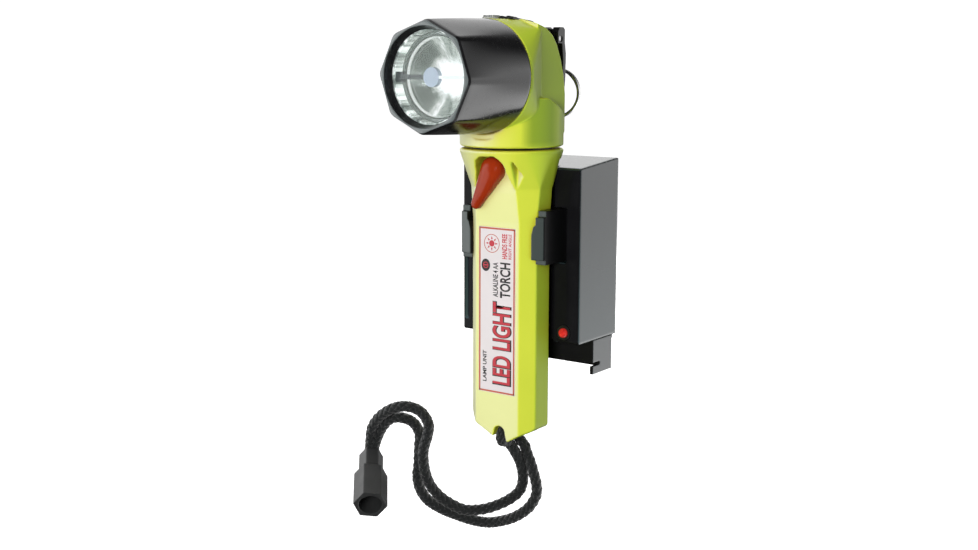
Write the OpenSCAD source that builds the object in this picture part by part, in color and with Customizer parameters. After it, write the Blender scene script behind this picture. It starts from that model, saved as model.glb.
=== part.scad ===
// Right angle firefighter light with a rear facing emitter, docked in its wall charger.
// +Z up, beam toward -Y, wall plane at y = 0, charger centred on x = 0 and z = 0. Millimetres.

/* [Handle] */
// handle width across the side flats
handle_w = 38.4; // [36:0.1:44]
// handle depth front to back
handle_d = 24; // [22:0.1:28]
// leg of the long corner chamfers
handle_chamfer = 6.2; // [4:0.1:8]
// lowest point of the handle
foot_z = -93.4; // [-100:0.1:-88]
// height of the seam between handle and head
seam_z = 52.7; // [50:0.1:56]
// radius of the round rim at the seam
rim_r = 25.6; // [24:0.1:27]
// wall thickness of the battery chamber at the sides
chamber_wall = 2.7; // [2:0.1:3.5]
// label width
label_w = 22; // [18:0.1:24]
// label height
label_h = 83.5; // [70:0.5:90]
// label centre height
label_z = -27.4; // [-35:0.1:-20]

/* [Head] */
// height of the beam axis
beam_z = 87.6; // [84:0.1:92]
// radius of the head collar behind the shroud
collar_r = 27; // [26:0.1:28]
// head half width at the side flats
head_hw = 20.5; // [19:0.1:22]
// corner radius of the octagonal shroud front
shroud_corner_r = 26.1; // [25:0.1:27]
// shroud length along the beam
shroud_len = 45.3; // [40:0.1:50]
// distance from handle axis to the rear face of the shroud
shroud_back = 23.2; // [22:0.1:25]
// roll of the octagon about the beam
shroud_roll = 3.4; // [0:0.1:22]
// reflector mouth radius
reflector_r = 19; // [17:0.1:20]
// focal length of the reflector
reflector_f = 9.5; // [8:0.1:12]
// belt clip half width
clip_hw = 13; // [9:0.1:15]
// split ring mean radius
ring_r = 12; // [10:0.1:14]
// split ring wire radius
ring_wire = 0.75; // [0.5:0.05:1]

/* [Switch lever] */
// lever hub height
lever_z = 42.9; // [40:0.1:46]
// hub radius of the lever
lever_hub = 6.2; // [5:0.1:7]
// tip radius of the lever
lever_tip = 2.6; // [2:0.1:4]
// distance from hub centre to tip centre
lever_len = 20.2; // [16:0.1:24]
// lever angle from straight down
lever_ang = 31; // [20:0.5:40]

/* [Charger] */
// charger width
charger_w = 70.6; // [66:0.2:80]
// charger depth from the wall
charger_d = 36.5; // [32:0.5:42]
// charger height at the front
charger_h = 87.4; // [80:0.2:95]
// rise of the top face toward the wall
top_rise = 3.4; // [0:0.1:5]
// wall thickness of the charger housing
wall = 2.5; // [2:0.1:3]
// mounting hole half spacing across
hole_x = 22; // [15:0.5:26]
// mounting hole half spacing up
hole_z = 28; // [20:0.5:32]
// mounting hole radius
hole_r = 2.25; // [2:0.05:2.6]
// arm height
arm_h = 26.4; // [20:0.2:30]
// arm lower edge height
arm_z = -3; // [-8:0.1:4]

/* [Lanyard] */
// braided cord radius
cord_r = 2.7; // [2:0.1:3.2]
// turn of the toggle about its own axis
toggle_turn = 8; // [0:1:59]

/* [Hidden] */
$fn = 64;
handle_y = -(charger_d + 8);   // handle axis from the wall
charger_hw = charger_w/2;
charger_hh = charger_h/2;
charger_front = -charger_d;
shroud_front = -shroud_back - shroud_len;  // from the handle axis
slot_x = 1.5;                  // lanyard slot centre
contact_x = 8;                 // charging contacts, handle and charger
contact_z = -25;

lime = [0.78, 0.86, 0.18];
steel = [0.7, 0.7, 0.72];
spring_wire = [0.75, 0.75, 0.72];
screw_steel = [0.65, 0.65, 0.67];
brass = [0.8, 0.62, 0.25];
board_green = [0.1, 0.35, 0.2];
housing_black = [0.05, 0.05, 0.055];
arm_black = [0.07, 0.07, 0.075];
clip_black = [0.08, 0.08, 0.085];
rubber = [0.1, 0.1, 0.1];
lamp_rubber = [0.12, 0.12, 0.12];
part_black = [0.12, 0.12, 0.13];
dark_plastic = [0.15, 0.15, 0.16];

/* frames and repeats */
// origin on the handle axis
module at_handle() translate([0, handle_y, 0]) children();
// origin where the beam crosses the handle axis
module at_beam() translate([0, handle_y, beam_z]) children();
// two copies at -x and +x, not mirrored
module pair(x, z = 0, y = 0) for (s = [-1, 1]) translate([s*x, y, z]) children();
// a part and its mirror image across x = 0
module mirrored() {
  children();
  mirror([1, 0, 0]) children();
}

/* shapes */
// cylinder or cone along y
module rod(r, y0, y1, r2)
  translate([0, y0, 0]) rotate([-90, 0, 0])
    cylinder(r1 = r, r2 = is_undef(r2) ? r : r2, h = y1 - y0);
// cylinder along z
module post(r, z, h) translate([0, 0, z]) cylinder(r = r, h = h);
// cylinder along x, centred on x
module axle(r, length, y = 0, z = 0, x = 0)
  translate([x - length/2, y, z]) rotate([0, 90, 0]) cylinder(r = r, h = length);
// tube along y
module tube(outer_r, inner_r, y0, y1) difference() {
  rod(outer_r, y0, y1);
  rod(inner_r, y0 - 1, y1 + 1);
}
// box between two opposite corners
module box(low, high) translate(low) cube(high - low);
// upright bar with chamfered corners
module octagon_bar(z, h, w, d, chamfer) {
  x = w/2;
  y = d/2;
  translate([0, 0, z]) linear_extrude(h) polygon([
    [-x + chamfer, -y], [x - chamfer, -y], [x, -y + chamfer], [x, y - chamfer],
    [x - chamfer, y], [-x + chamfer, y], [-x, y - chamfer], [-x, -y + chamfer]]);
}
// [y, z] outline extruded across x
module side_prism(half_w, points)
  rotate([90, 0, 90]) translate([0, 0, -half_w]) linear_extrude(2*half_w) polygon(points);
// [x, z] outline extruded from y0 to y1
module front_prism(y0, y1, points)
  rotate([90, 0, 0]) translate([0, 0, -y1]) linear_extrude(y1 - y0) polygon(points);
module torus(r, wire, facets = 20)
  rotate_extrude() translate([r, 0]) circle(r = wire, $fn = facets);
// coil as rings leaning to and fro so that each meets the next
module coil(r, wire, h, turns) {
  pitch = (h - 2*wire)/turns;
  for (i = [0:turns - 1])
    translate([0, 0, wire + (i + 0.5)*pitch])
      rotate([(i % 2 == 0 ? 1 : -1)*atan(pitch/(2*r)), 0, 0]) torus(r, wire);
}

/* handle */
chamber_hw = handle_w/2 - chamber_wall;
chamber_z = -77;               // chamber floor
label_seat_y = -11.75;
neck_r = 20;                   // round neck recess
neck_floor_z = seam_z - 3;
slab = 0.5;                    // thickness of the sections that are hulled
slot_r = 3.2;
slot_arch_z = foot_z + 4.3;    // centre of the slot's round top
slot_room_z = foot_z + 7.6;    // same for the inner room above it
slot_room_hd = 10.2;
lanyard_pin_z = foot_z + 3;
// handle foot, x and height above foot_z, left to right
foot_curve = [[-19.4, 11.4], [-17, 9.2], [-13.3, 7.2], [-8.3, 4.8], [-4.4, 2.7], [-2, 1.5],
  [6.4, 0], [8.6, 1.2], [11, 2.8], [14, 4.4], [17.4, 6], [19.4, 7.8]];
// lever pocket, x and height from the lever hub
lever_pocket = [[-5.7, 4.9], [5.9, 4.9], [9.4, 1], [10.4, -5], [11.6, -12], [16, -24],
  [20, -32], [-20, -32], [-15.4, -18.5], [-7.6, -1]];

module handle_section(z, grow = [0, 0, 0])
  octagon_bar(z, slab, handle_w + grow[0], handle_d + grow[1], handle_chamfer + grow[2]);
module flare_section() handle_section(33.5, [2.8, 3.6, 2.2]);

module handle_body() color(lime) at_handle() difference() {
  union() {
    intersection() {
      octagon_bar(foot_z - 2, 120, handle_w, handle_d, handle_chamfer);
      front_prism(-20, 20, concat([for (p = foot_curve) [p[0], foot_z + p[1]]],
        [[19.4, 60], [-19.4, 60]]));
    }
    hull() {
      handle_section(17);
      flare_section();
    }
    hull() {
      flare_section();
      post(rim_r, seam_z - 1.2, slab);
    }
    translate([0, 0, seam_z - 0.7]) cylinder(r1 = rim_r, r2 = rim_r - 1.2, h = 0.7);
  }
  // back of the flare is cut flat where it drops into the cradle
  box([-40, handle_d/2, 10], [40, 40, 47.6]);
  mirrored() box([19.7, 7.6, 10], [40, 40, 47.6]);
  // battery chamber and round neck recess
  octagon_bar(chamber_z, 140, 2*chamber_hw, 18.6, 3.8);
  post(neck_r, neck_floor_z, 5);
  // pocket of the lever, shaft bore and seal seat
  translate([0, 0, lever_z]) {
    hull() {
      rod(7.5, -13.7, -13.6);
      translate([2.2, 0, -2]) rod(9.6, -24, -23.9);
    }
    front_prism(-43.6, -13.6, lever_pocket);
    rod(shaft_r + 0.06, -14, -9);
    rod(shaft_seal_r, -12.2, -9);
  }
  // small scoop at the right of the lever
  front_prism(-33.4, -13.4, [[13.2, 49.4], [12.4, 34], [18.2, 34.2]]);
  // lanyard slot with the inner room above it
  translate([slot_x, 0, 0]) {
    front_prism(-20, 20, [[-slot_r, slot_arch_z], [-5, foot_z - 3], [5, foot_z - 3],
      [slot_r, slot_arch_z]]);
    translate([0, 0, slot_arch_z]) rod(slot_r, -20, 20);
    box([-slot_r, -slot_room_hd, foot_z + 4], [slot_r, slot_room_hd, slot_room_z]);
    translate([0, 0, slot_room_z]) rod(slot_r, -slot_room_hd, slot_room_hd);
  }
  axle(1.5, 16, 0, lanyard_pin_z, slot_x);
  // contact pockets
  pair(contact_x, contact_z) {
    box([-4, 11.2, -4], [4, 13, 4]);
    rod(1.5, 9, 12);
  }
  // label recess
  box([-label_w/2 - 0.1, -13, label_z - label_h/2 - 0.1],
    [label_w/2 + 0.1, label_seat_y, label_z + label_h/2 + 0.1]);
}
module label() color([0.95, 0.93, 0.93]) at_handle()
  box([-label_w/2, label_seat_y - 0.3, label_z - label_h/2],
    [label_w/2, label_seat_y, label_z + label_h/2]);
module lanyard_pin() color(steel) at_handle() axle(1.45, 15.8, 0, lanyard_pin_z, slot_x);

/* switch */
shaft_r = 2;
shaft_seal_r = 3.3;
lever_back_y = -14;
square_front_y = -17.4;        // front of the square shaft end
rotor_y = [-8.4, -6.2];
module at_lever() at_handle() translate([0, 0, lever_z]) children();

module switch_lever() color([0.78, 0.22, 0.12]) at_lever() difference() {
  rotate([0, lever_ang, 0]) hull() {
    rod(lever_hub, -17.4, lever_back_y);
    rod(lever_hub - 0.7, -18.8, -17.4, lever_hub - 0.05);
    rod(lever_hub - 2.4, -20, -18.8, lever_hub - 0.8);
    translate([0, 0, -lever_len]) {
      rod(lever_tip, -15.8, lever_back_y);
      rod(lever_tip - 1.3, -17.1, -15.8, lever_tip - 0.2);
    }
  }
  box([-1.6, square_front_y - 0.1, -1.6], [1.6, -13, 1.6]);
}
module switch_shaft() color(steel) at_lever() {
  rod(shaft_r, lever_back_y, -5.2);
  box([-1.55, square_front_y, -1.55], [1.55, lever_back_y, 1.55]);
}
module switch_seal() color(rubber) at_lever()
  tube(shaft_seal_r, shaft_r + 0.02, -12.2, -10.6);
module switch_rotor() color([0.85, 0.85, 0.8]) at_lever() difference() {
  union() {
    rod(6.2, rotor_y[0], rotor_y[1]);
    rotate([0, lever_ang, 0]) box([-1.6, rotor_y[0], -9], [1.6, rotor_y[1], -3]);
  }
  rod(shaft_r, -10, -5);
}
module switch_detent_spring() color([0.75, 0.72, 0.6]) at_lever()
  translate([0, -10.45, 0]) rotate([-90, 0, 0]) coil(2.7, 0.22, 2, 3);
module switch_contacts() color(brass) at_handle() {
  box([-chamber_hw, -5.1, 35], [chamber_hw, -3.9, 49]);
  pair(8, 36.5) rod(1.4, -6.1, -5.1);
}

/* battery */
cassette_h = 109.6;
cassette_top = chamber_z + cassette_h;
cassette_floor = -74.6;        // inside faces
cassette_ceiling = 30.4;
cell_x = 7.45;
cell_len = 48.6;
cell_nub = 1.2;
cell_pitch = cell_len + cell_nub;
plate = 0.6;                   // contact sheet thickness
spring_h = 2.6;
spring_z = cassette_floor + plate;
cells_z = spring_z + spring_h;
upper_plate_z = cells_z + 2*cell_pitch;

module battery_cassette() color(dark_plastic) at_handle() difference() {
  octagon_bar(chamber_z, cassette_h, 32.6, 18.2, 3.8);
  box([-15.1, -10, cassette_floor], [15.1, 10, cassette_ceiling]);
  for (z = [-60, -33, -5, 20]) pair(16, z) box([-2, -5, -9], [2, 5, 5]);
}
module cells() color([0.45, 0.47, 0.5]) at_handle()
  for (i = [0, 1]) pair(cell_x, cells_z + i*cell_pitch) {
    post(7.2, 0, cell_len);
    post(2.7, cell_len, cell_nub);
  }
module cell_springs() color([0.75, 0.75, 0.75]) at_handle()
  pair(cell_x, spring_z) coil(3.6, 0.35, spring_h, 2);
module cell_plates() color(brass) at_handle() {
  box([-14.8, -6, cassette_floor], [14.8, 6, spring_z]);
  pair(cell_x) {
    box([-5, -6, upper_plate_z], [5, 6, upper_plate_z + plate]);
    box([-1.5, -1.5, upper_plate_z + plate], [1.5, 1.5, cassette_ceiling]);
  }
}
module contact_strips() color(brass) at_handle() pair(10) {
  box([-2, 7.8, cassette_top], [2, 8.4, neck_floor_z]);
  box([-2, 2, neck_floor_z - plate], [2, 8.4, neck_floor_z]);
  box([-2, 3, cassette_top], [2, 8.4, cassette_top + plate]);
}
module charge_contacts() color([0.85, 0.8, 0.7]) at_handle() pair(contact_x, contact_z) {
  box([-3.9, 11.2, -3.9], [3.9, 12, 3.9]);
  rod(1.4, 9.15, 11.2);
}

/* head */
collar_back_y = -23.1;
vent_y = -17.5;
clip_screw_x = 5;
clip_screw_z = 84;
// [y, z] outlines of the rear block: full width, and the taller middle
block_sides = [[-8, 60], [-8, 112], [-1, 110.2], [4.6, 107], [8.4, 102.6], [12, 96],
  [14.8, 88], [16.4, 79], [16.4, 60]];
block_middle = [[-8, 60], [-8, 114.4], [2, 113], [8, 110.8], [13, 106.4], [17, 99],
  [19, 90], [19.6, 80], [19.6, 60]];
// [y, z] curve where the clip bracket lies on the head
bracket_seat = [[3, 112], [9, 109.2], [14, 104.6], [18, 97.6], [19.4, 88]];

module head_housing() color(lime) at_handle() difference() {
  union() {
    // shoulder between the round collar and the flat sided rear block
    hull() {
      translate([0, 0, beam_z]) rod(collar_r, collar_back_y, -21);
      side_prism(head_hw, [[-7, 66], [-7, 110], [-5, 109.6], [-5, 66]]);
      side_prism(10, [[-7, 66], [-7, 114.2], [-5, 114], [-5, 66]]);
    }
    hull() {
      side_prism(head_hw, block_sides);
      side_prism(11.5, block_middle);
    }
    // neck skirt
    difference() {
      post(rim_r - 0.1, seam_z + 1.6, 30);
      pair(head_hw + 20) side_prism(20, [[-5.2, 77.4], [16, 67.8], [40, 60], [40, 120],
        [-5.2, 120]]);
      translate([0, 0, beam_z]) rod(collar_r + 0.3, -40, collar_back_y);
      box([-40, -40, beam_z - 10.2], [40, -5.1, 140]);
      side_prism(40, [[19.6, 66.4], [40, 54], [40, 130], [19.6, 130]]);
    }
    translate([0, 0, seam_z + 0.9]) cylinder(r1 = rim_r - 1.3, r2 = rim_r - 0.1, h = 0.7);
    // spigot for the shroud
    translate([0, 0, beam_z]) rod(24.24, -34, -23);
  }
  // bores along the beam and the groove of the shroud seal
  translate([0, 0, beam_z]) {
    rod(20.2, -35, -32);
    rod(18.4, -33, -8);
    rod(16.6, -9, 6);
    tube(30, 22.5, -26.6, -24.6);
  }
  // neck bore and recess of the coupling ring
  post(17, seam_z, 34);
  post(neck_r, seam_z, 2.2);
  // seat of the bracket and its screw holes
  side_prism(9.2, concat([[-13, 118], [-13, 114.1]], bracket_seat,
    [[19.4, 72], [30, 72], [30, 120]]));
  pair(clip_screw_x, clip_screw_z) rod(1.2, 12, 22);
  // vent hole and its counterbore
  translate([0, vent_y, beam_z]) {
    post(2.6, 10, 30);
    post(3.7, 26.4, 5);
  }
}
module neck_coupling_ring() color([0.2, 0.2, 0.2]) at_handle() difference() {
  post(neck_r - 0.06, seam_z - 2.9, 5.1);
  post(15.5, seam_z - 4, 8);
  // groove of the neck seal
  difference() {
    post(21, seam_z - 1.6, 1.3);
    post(18.7, seam_z - 2.6, 4);
  }
}
module neck_seal() color(rubber) at_handle()
  translate([0, 0, seam_z - 0.95]) torus(19.3, 0.6);
module head_contacts() color(board_green) at_handle() {
  difference() {
    post(16.9, seam_z + 2.2, 1.6);
    post(4, seam_z, 6);
  }
  pair(10, y = 5) post(1.2, seam_z - 2.9, 5.2);
}

/* lamp: faces of the stack, front to back */
lens_seal_y = shroud_front + 3;
lens_y = lens_seal_y + 0.5;
bridge_y = lens_y + 1.4;
reflector_y = bridge_y + 4.9;
lamp_body_y = reflector_y + 13.6;
lamp_body_back_y = -34;
led_mount_y = reflector_y - 2.4;
bridge_bar_y = [shroud_front + 5, shroud_front + 7];
lamp_r = 22.6;
lead_x = 21.3;

module shroud() color([0.06, 0.06, 0.065]) at_beam() difference() {
  hull() {
    translate([0, shroud_front - 0.8, 0]) rotate([90, 22.5 + shroud_roll, 0])
      cylinder(r = shroud_corner_r, h = 0.5, $fn = 8);
    rod(collar_r, -24.2, -shroud_back);
    rod(collar_r - 0.1, -30, -24);
  }
  rod(23.5, shroud_front - 2, lens_seal_y, 21.3);
  rod(22.9, lens_seal_y, -30);
  rod(24.3, -35, -20);
}
module shroud_seal() color(lamp_rubber) at_beam()
  translate([0, -25.6, 0]) rotate([90, 0, 0]) torus(23.42, 0.85);
module lens_seal() color(lamp_rubber) at_beam() tube(22.8, 21.6, lens_seal_y, lens_y);
module lens() color([0.85, 0.9, 0.95, 0.4]) at_beam() rod(22.8, lens_y, bridge_y);
// part of the bar across the lens, from x0 to x1
module bridge_bar(x0, x1, half_h)
  box([x0, bridge_bar_y[0], -half_h], [x1, bridge_bar_y[1], half_h]);
module led_bridge() color([0.5, 0.52, 0.56]) at_beam() {
  tube(22.7, 20.6, bridge_y, reflector_y);
  difference() {
    union() {
      bridge_bar(-21.5, 21.5, 0.7);
      bridge_bar(-21.5, 0, 1.1);
      bridge_bar(-21.5, -16.6, 2.3);
    }
    rod(4, shroud_front + 4, shroud_front + 11);
  }
  rod(4.4, bridge_bar_y[0], led_mount_y);
}
module led_emitter() color([1, 0.98, 0.85]) at_beam() {
  rod(2.6, led_mount_y, reflector_y);
  rod(1.5, reflector_y, reflector_y + 1.6, 0.8);
}
module lead_bores(y1) pair(lead_x) rod(0.8, reflector_y - 0.8, y1);
// depth of the parabolic bowl below its mouth
function bowl_depth(r) = (reflector_r*reflector_r - r*r)/(4*reflector_f);
module reflector() color([0.9, 0.9, 0.92]) at_beam() difference() {
  rod(lamp_r, reflector_y, lamp_body_y);
  translate([0, reflector_y, 0]) rotate([-90, 0, 0]) rotate_extrude()
    polygon(concat([[0, -0.5], [reflector_r, -0.5]],
      [for (i = [0:10]) let (r = reflector_r*(1 - i/10)) [r, bowl_depth(r)]]));
  lead_bores(shroud_front + 30);
}
module lamp_body() color([0.75, 0.76, 0.78]) at_beam() difference() {
  rod(lamp_r, lamp_body_y, lamp_body_back_y);
  // two grooves round the outside
  for (y = [lamp_body_y + 2, lamp_body_y + 4.6]) tube(24, 19, y, y + 1.2);
  rod(16, lamp_body_y + 2.6, -30);
  pair(20) box([-3, -35.1, -0.8], [3, -33, 0.8]);
  lead_bores(-30);
}
module driver_board() color(board_green) at_beam() {
  rod(20, -33.6, -32);
  box([-8, -32, -6], [2, -29, 4]);
  box([5, -32, -3], [11, -30, 6]);
  translate([-5, 0, 10]) rod(3, -32, -26);
}
module lamp_leads() color([0.7, 0.1, 0.1]) at_beam() {
  pair(lead_x) rod(0.6, reflector_y, -34.6);
  pair(20) box([-1.9, -34.9, -0.6], [1.9, -34.2, 0.6]);
  pair(18.6) box([-0.5, -34.9, -0.6], [0.5, -33.6, 0.6]);
}

/* top of the head, belt clip and split ring */
clip_pin_y = 23.6;
clip_pin_z = 105.6;
lug_x = 4;
lug_y = 33.6;
ring_yaw = 15;

module vent_plug() color(rubber) at_beam() translate([0, vent_y, 0]) {
  post(2.5, 20, 7.2);
  post(3.6, 26.4, 1.3);
  for (i = [-2:2]) translate([i*1.3, 0, collar_r + 0.6])
    box([-0.35, -2.6, 0], [0.35, 2.6, 0.9]);
}
module clip_bracket() color(clip_black) at_handle() difference() {
  union() {
    side_prism(9, concat([[-12.8, 115.4], [-12.8, 114.075]], bracket_seat,
      [[19.4, 72.2], [21.2, 72.2], [21.2, 92], [21, 103], [16, 110], [4, 113.9]]));
    // ears for the pin
    pair(7.5) side_prism(1.5, [[17, 100], [20, 96], [27.4, 103.4], [27.4, 108.4],
      [25.4, 110.4], [15, 110.6]]);
    // four ribs on top
    for (x = [-7:4:5]) translate([x, 0, 0])
      side_prism(1, [[-11, 115.2], [-11, 116], [-4, 115.4], [-4, 114.4]]);
  }
  axle(1.55, 40, clip_pin_y, clip_pin_z);
  pair(clip_screw_x, clip_screw_z) rod(1.5, 16, 24);
}
module clip_screws() color([0.6, 0.6, 0.62]) at_handle() pair(clip_screw_x, clip_screw_z) {
  rod(1.15, 14.5, 21.2);
  rod(2.6, 21.2, 22.6);
}
module belt_clip() color(clip_black) at_handle() difference() {
  union() {
    // tongue
    side_prism(clip_hw, [[24.6, 104], [27.4, 104], [28.6, 98], [28.2, 86], [27, 76],
      [25.8, 70.6], [27.6, 67.2], [26.2, 66], [23.6, 70.4], [24.8, 77], [25.8, 86],
      [25.8, 96]]);
    // hinge barrel
    side_prism(clip_hw, [[20.9, 103.4], [27.4, 103.4], [27.4, 110], [26, 111.2],
      [22.4, 111.2], [20.9, 109]]);
    // lug of the split ring
    translate([lug_x, 0, 0])
      side_prism(0.9, [[27, 98.5], [27, 83.5], [35, 86.6], [38, 91.3], [35, 96]]);
  }
  // gaps for the bracket ears, then the pin bore
  pair(7.5) side_prism(1.7, [[10, 94], [27.9, 94], [29, 102.6], [29, 115], [10, 115]]);
  axle(1.54, 40, clip_pin_y, clip_pin_z);
  // room between the ears, deeper round the spring
  box([-5.7, 10, 98], [5.7, clip_pin_y, 115]);
  box([-3.4, 10, 98], [1, 26.4, 115]);
  translate([lug_x, lug_y, 91.3]) rotate([0, 0, ring_yaw]) axle(2.6, 12);
}
module clip_pin() color(steel) at_handle() axle(1.5, 24.8, clip_pin_y, clip_pin_z);
module clip_spring() color(spring_wire) at_handle()
  translate([-2.4, clip_pin_y, clip_pin_z]) rotate([0, 90, 0]) coil(2.05, 0.3, 2.2, 3);
module split_ring() color([0.75, 0.75, 0.74]) at_handle()
  translate([lug_x, lug_y, 90.7 - ring_r]) rotate([0, 0, ring_yaw])
    for (s = [-1, 1]) translate([0, s*ring_wire, 0]) rotate([90, 0, 0])
      torus(ring_r, ring_wire, 16);

/* lanyard, laid along an upright plane through the handle foot */
plane_left = [-0.814, -0.5815, 0];   // along the plane, to the left and away from the wall
plane_out = [0.5815, -0.8135, 0];    // off the plane, to the right and away from the wall
function plane_point(p) = p[0]*plane_left + p[2]*plane_out + [0, 0, p[1]];
// the two strands from slot to toggle: distance left, height, offset out
strand_a = [
  [0.5, -97.4, 0.4], [-2.4, -101.4, 1.4], [-5.6, -108, 2], [-6.8, -116, 2],
  [-5, -122.4, 2.4], [0.6, -127, 3], [8, -130.4, 3.2], [15, -132.2, 3.2],
  [22.4, -132.4, 3.2], [28.6, -130, 3.2], [35.4, -125.4, 3.2], [40.4, -119.4, 3.2],
  [43, -112.6, 3.2], [44, -106, 3.2], [43.8, -100, 3.2], [41.8, -92.8, 3.2],
  [41.4, -86.8, 3], [45.4, -80.8, 2], [52.4, -78.4, 1], [59.6, -80, -1],
  [66.6, -85.4, -5], [70.8, -92.2, -8], [71.9, -99.5, -9.5], [72.2, -104.6, -8],
  [72, -107.4, -4.5]];
strand_b = [
  [-7.4, -98.8, -0.4], [-8.8, -102.8, 1.2], [-10.6, -107.2, 3], [-12.2, -112.6, 4.4],
  [-13.6, -118.4, 5.2], [-13.4, -124, 5.2], [-9.6, -130.8, 4.4], [-3, -136.2, 2.4],
  [4.2, -139.8, -1], [11.4, -141.2, -2.6], [19.2, -140, -3], [28, -137, -3],
  [35.4, -133.8, -3], [42, -129.4, -3], [46, -123.4, -3], [47.4, -116.6, -3],
  [46.8, -110.6, -3.2], [46.4, -101, -3.6], [46.2, -94, -3.6], [49.4, -88.2, -3.6],
  [55, -85.8, -4], [60.8, -86.6, -5.6], [65.4, -91.6, -8], [68.6, -98.4, -9.5],
  [70.4, -104.6, -8], [70.8, -107.4, -4.5]];
// [y, z] where the cord loops through the slot and over the pin
cord_loop = [[-4.6, -95.2], [-8.6, -94.4], [-10, -91.8], [-8.4, -89.2], [-5.4, -87.4],
  [-2.64, -86.4], [-0.4, -85.8], [1.94, -86.23], [3.9, -87.7], [4.9, -91], [5, -95.2]];
cord_points = concat(
  [for (i = [len(strand_a) - 1:-1:0]) plane_point(strand_a[i])],
  [for (p = cord_loop) [slot_x, p[0], p[1]]],
  [for (p = strand_b) plane_point(p)]);

module lanyard_cord() color(arm_black) at_handle()
  for (i = [0:len(cord_points) - 2]) hull() {
    translate(cord_points[i]) sphere(r = cord_r, $fn = 10);
    translate(cord_points[i + 1]) sphere(r = cord_r, $fn = 10);
  }
module lanyard_toggle() color(housing_black) at_handle()
  translate(plane_point([71.4, -107.3, -6]))
    rotate([0, 0, 39.6]) rotate([-66.5, 0, 0]) rotate([0, 0, toggle_turn]) difference() {
      union() {
        translate([0, 0, -14]) cylinder(r = 6.3, h = 15, $fn = 6);
        translate([0, 0, -36]) cylinder(r = 8.6, h = 22.2, $fn = 6);
      }
      post(5.8, -40, 25);
      post(4.5, -20, 40);
    }

/* charger */
channel_hw = 20.2;             // channel for the handle
channel_y = charger_front + 4.4;
arm_pin_x = 27;
arm_pin_y = 18;                // from the handle axis
arm_pin_over = 4.8;            // pin beyond each end of the arm
arm_top = arm_z + arm_h;
fixing_x = 27;
fixing_y = -12;
shelf_z = -46.4;               // underside of the bracket shelf
jack_x = -14;
jack_y = -16;
module at_cover_screws() for (z = [-28, 37]) pair(29.2, z) children();
module at_indicator() translate([26.6, 0, -38.4]) children();
module at_jack() translate([jack_x, jack_y, 0]) children();

module charger_housing() color(housing_black) difference() {
  union() {
    difference() {
      // sloped top, small edge breaks
      side_prism(charger_hw, [[charger_front, -charger_hh + 0.8],
        [charger_front + 0.8, -charger_hh], [-0.3, -charger_hh],
        [-0.3, charger_hh - 0.3 + top_rise], [charger_front + 0.8, charger_hh - 0.3],
        [charger_front, charger_hh - 1.1]]);
      // inside, open at the back
      side_prism(charger_hw - wall, [[charger_front + wall, -charger_hh + wall],
        [5, -charger_hh + wall], [5, charger_hh - wall + top_rise],
        [-0.3, charger_hh - wall - 0.3 + top_rise],
        [charger_front + wall, charger_hh - wall - 0.3]]);
    }
    // back wall of the handle channel
    box([-channel_hw - wall, charger_front, -charger_hh],
      [channel_hw + wall, channel_y + wall, charger_hh - 1]);
    // posts for the cover screws
    at_cover_screws() rod(3.5, charger_front + 1, -7);
    // bosses of the arm pins
    for (z = [arm_z - 6.4, arm_top + 0.4]) pair(28.4, z) box([-5, -31.6, 0], [5, -22, 6]);
    // standoffs of the board
    for (z = [-34, 33]) pair(21, z) rod(2.5, -30, -18);
    // bosses of the fixing screws
    pair(fixing_x, y = fixing_y) post(4, -charger_hh + 1, 9);
  }
  // channel for the handle
  box([-channel_hw, charger_front - 1, -charger_hh - 1],
    [channel_hw, channel_y, charger_hh + 8]);
  // openings and pin bores for the arms
  mirrored() box([19.8, charger_front - 1, arm_z - 0.4], [27.4, -28.6, arm_top + 0.4]);
  pair(arm_pin_x, y = handle_y + arm_pin_y) post(1.55, arm_z - 4.9, arm_h + 9.8);
  at_indicator() rod(3.25, charger_front - 1, charger_front + 4);
  at_jack() post(5.05, -charger_hh - 1, 5);
  at_cover_screws() rod(1.3, -20, -6);
  pair(fixing_x, y = fixing_y) post(1.35, -charger_hh - 1, 9);
  pair(contact_x, contact_z) rod(2.06, charger_front, -20);
  // upright slot at the left of the front, then the notch for the bracket plate
  box([-34, charger_front - 1, -38], [-32, charger_front + 1.4, -5.4]);
  box([-32.2, -4.5, -charger_hh - 1], [32.2, 1, -charger_hh + 4]);
}
module charger_cover() color(clip_black) difference() {
  side_prism(charger_hw - wall - 0.15, [[-7, -charger_hh + wall + 0.3],
    [-4.3, -charger_hh + wall + 0.3], [-4.3, charger_hh - wall + top_rise - 1],
    [-7, charger_hh - wall + top_rise - 1.2]]);
  at_cover_screws() {
    rod(1.6, -8, -4);
    rod(2.9, -5.5, -4);
  }
}
module cover_screws() color(screw_steel) at_cover_screws() {
  rod(1.25, -16, -5.5);
  rod(2.7, -5.5, -4.32);
}
module mounting_bracket() color([0.09, 0.09, 0.095]) difference() {
  union() {
    box([-32, -4.3, -61.4], [32, 0, 38]);
    // shelf, its front lip and side cheeks
    box([-33.4, -20.4, shelf_z], [33.4, 0, -charger_hh]);
    box([-charger_hw, -22.4, -56], [charger_hw, -20.4, -charger_hh]);
    mirrored() box([33.3, -22.4, -61.4], [charger_hw, -4, -charger_hh]);
  }
  mirrored() box([30, -25, -57.2], [40, -15.6, -55.4]);
  // countersunk mounting holes
  for (z = [-hole_z, hole_z]) pair(hole_x, z) {
    rod(hole_r, -10, 1);
    rod(hole_r + 2.2, -4.3, -2.1, hole_r);
  }
  pair(fixing_x, y = fixing_y) post(1.6, -50, 8);
  at_jack() post(6.5, -50, 8);
}
module bracket_fixing_screws() color(screw_steel) pair(fixing_x, shelf_z, fixing_y) {
  post(1.3, 0, 9.6);
  post(2.8, -1.9, 1.9);
}

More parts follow.
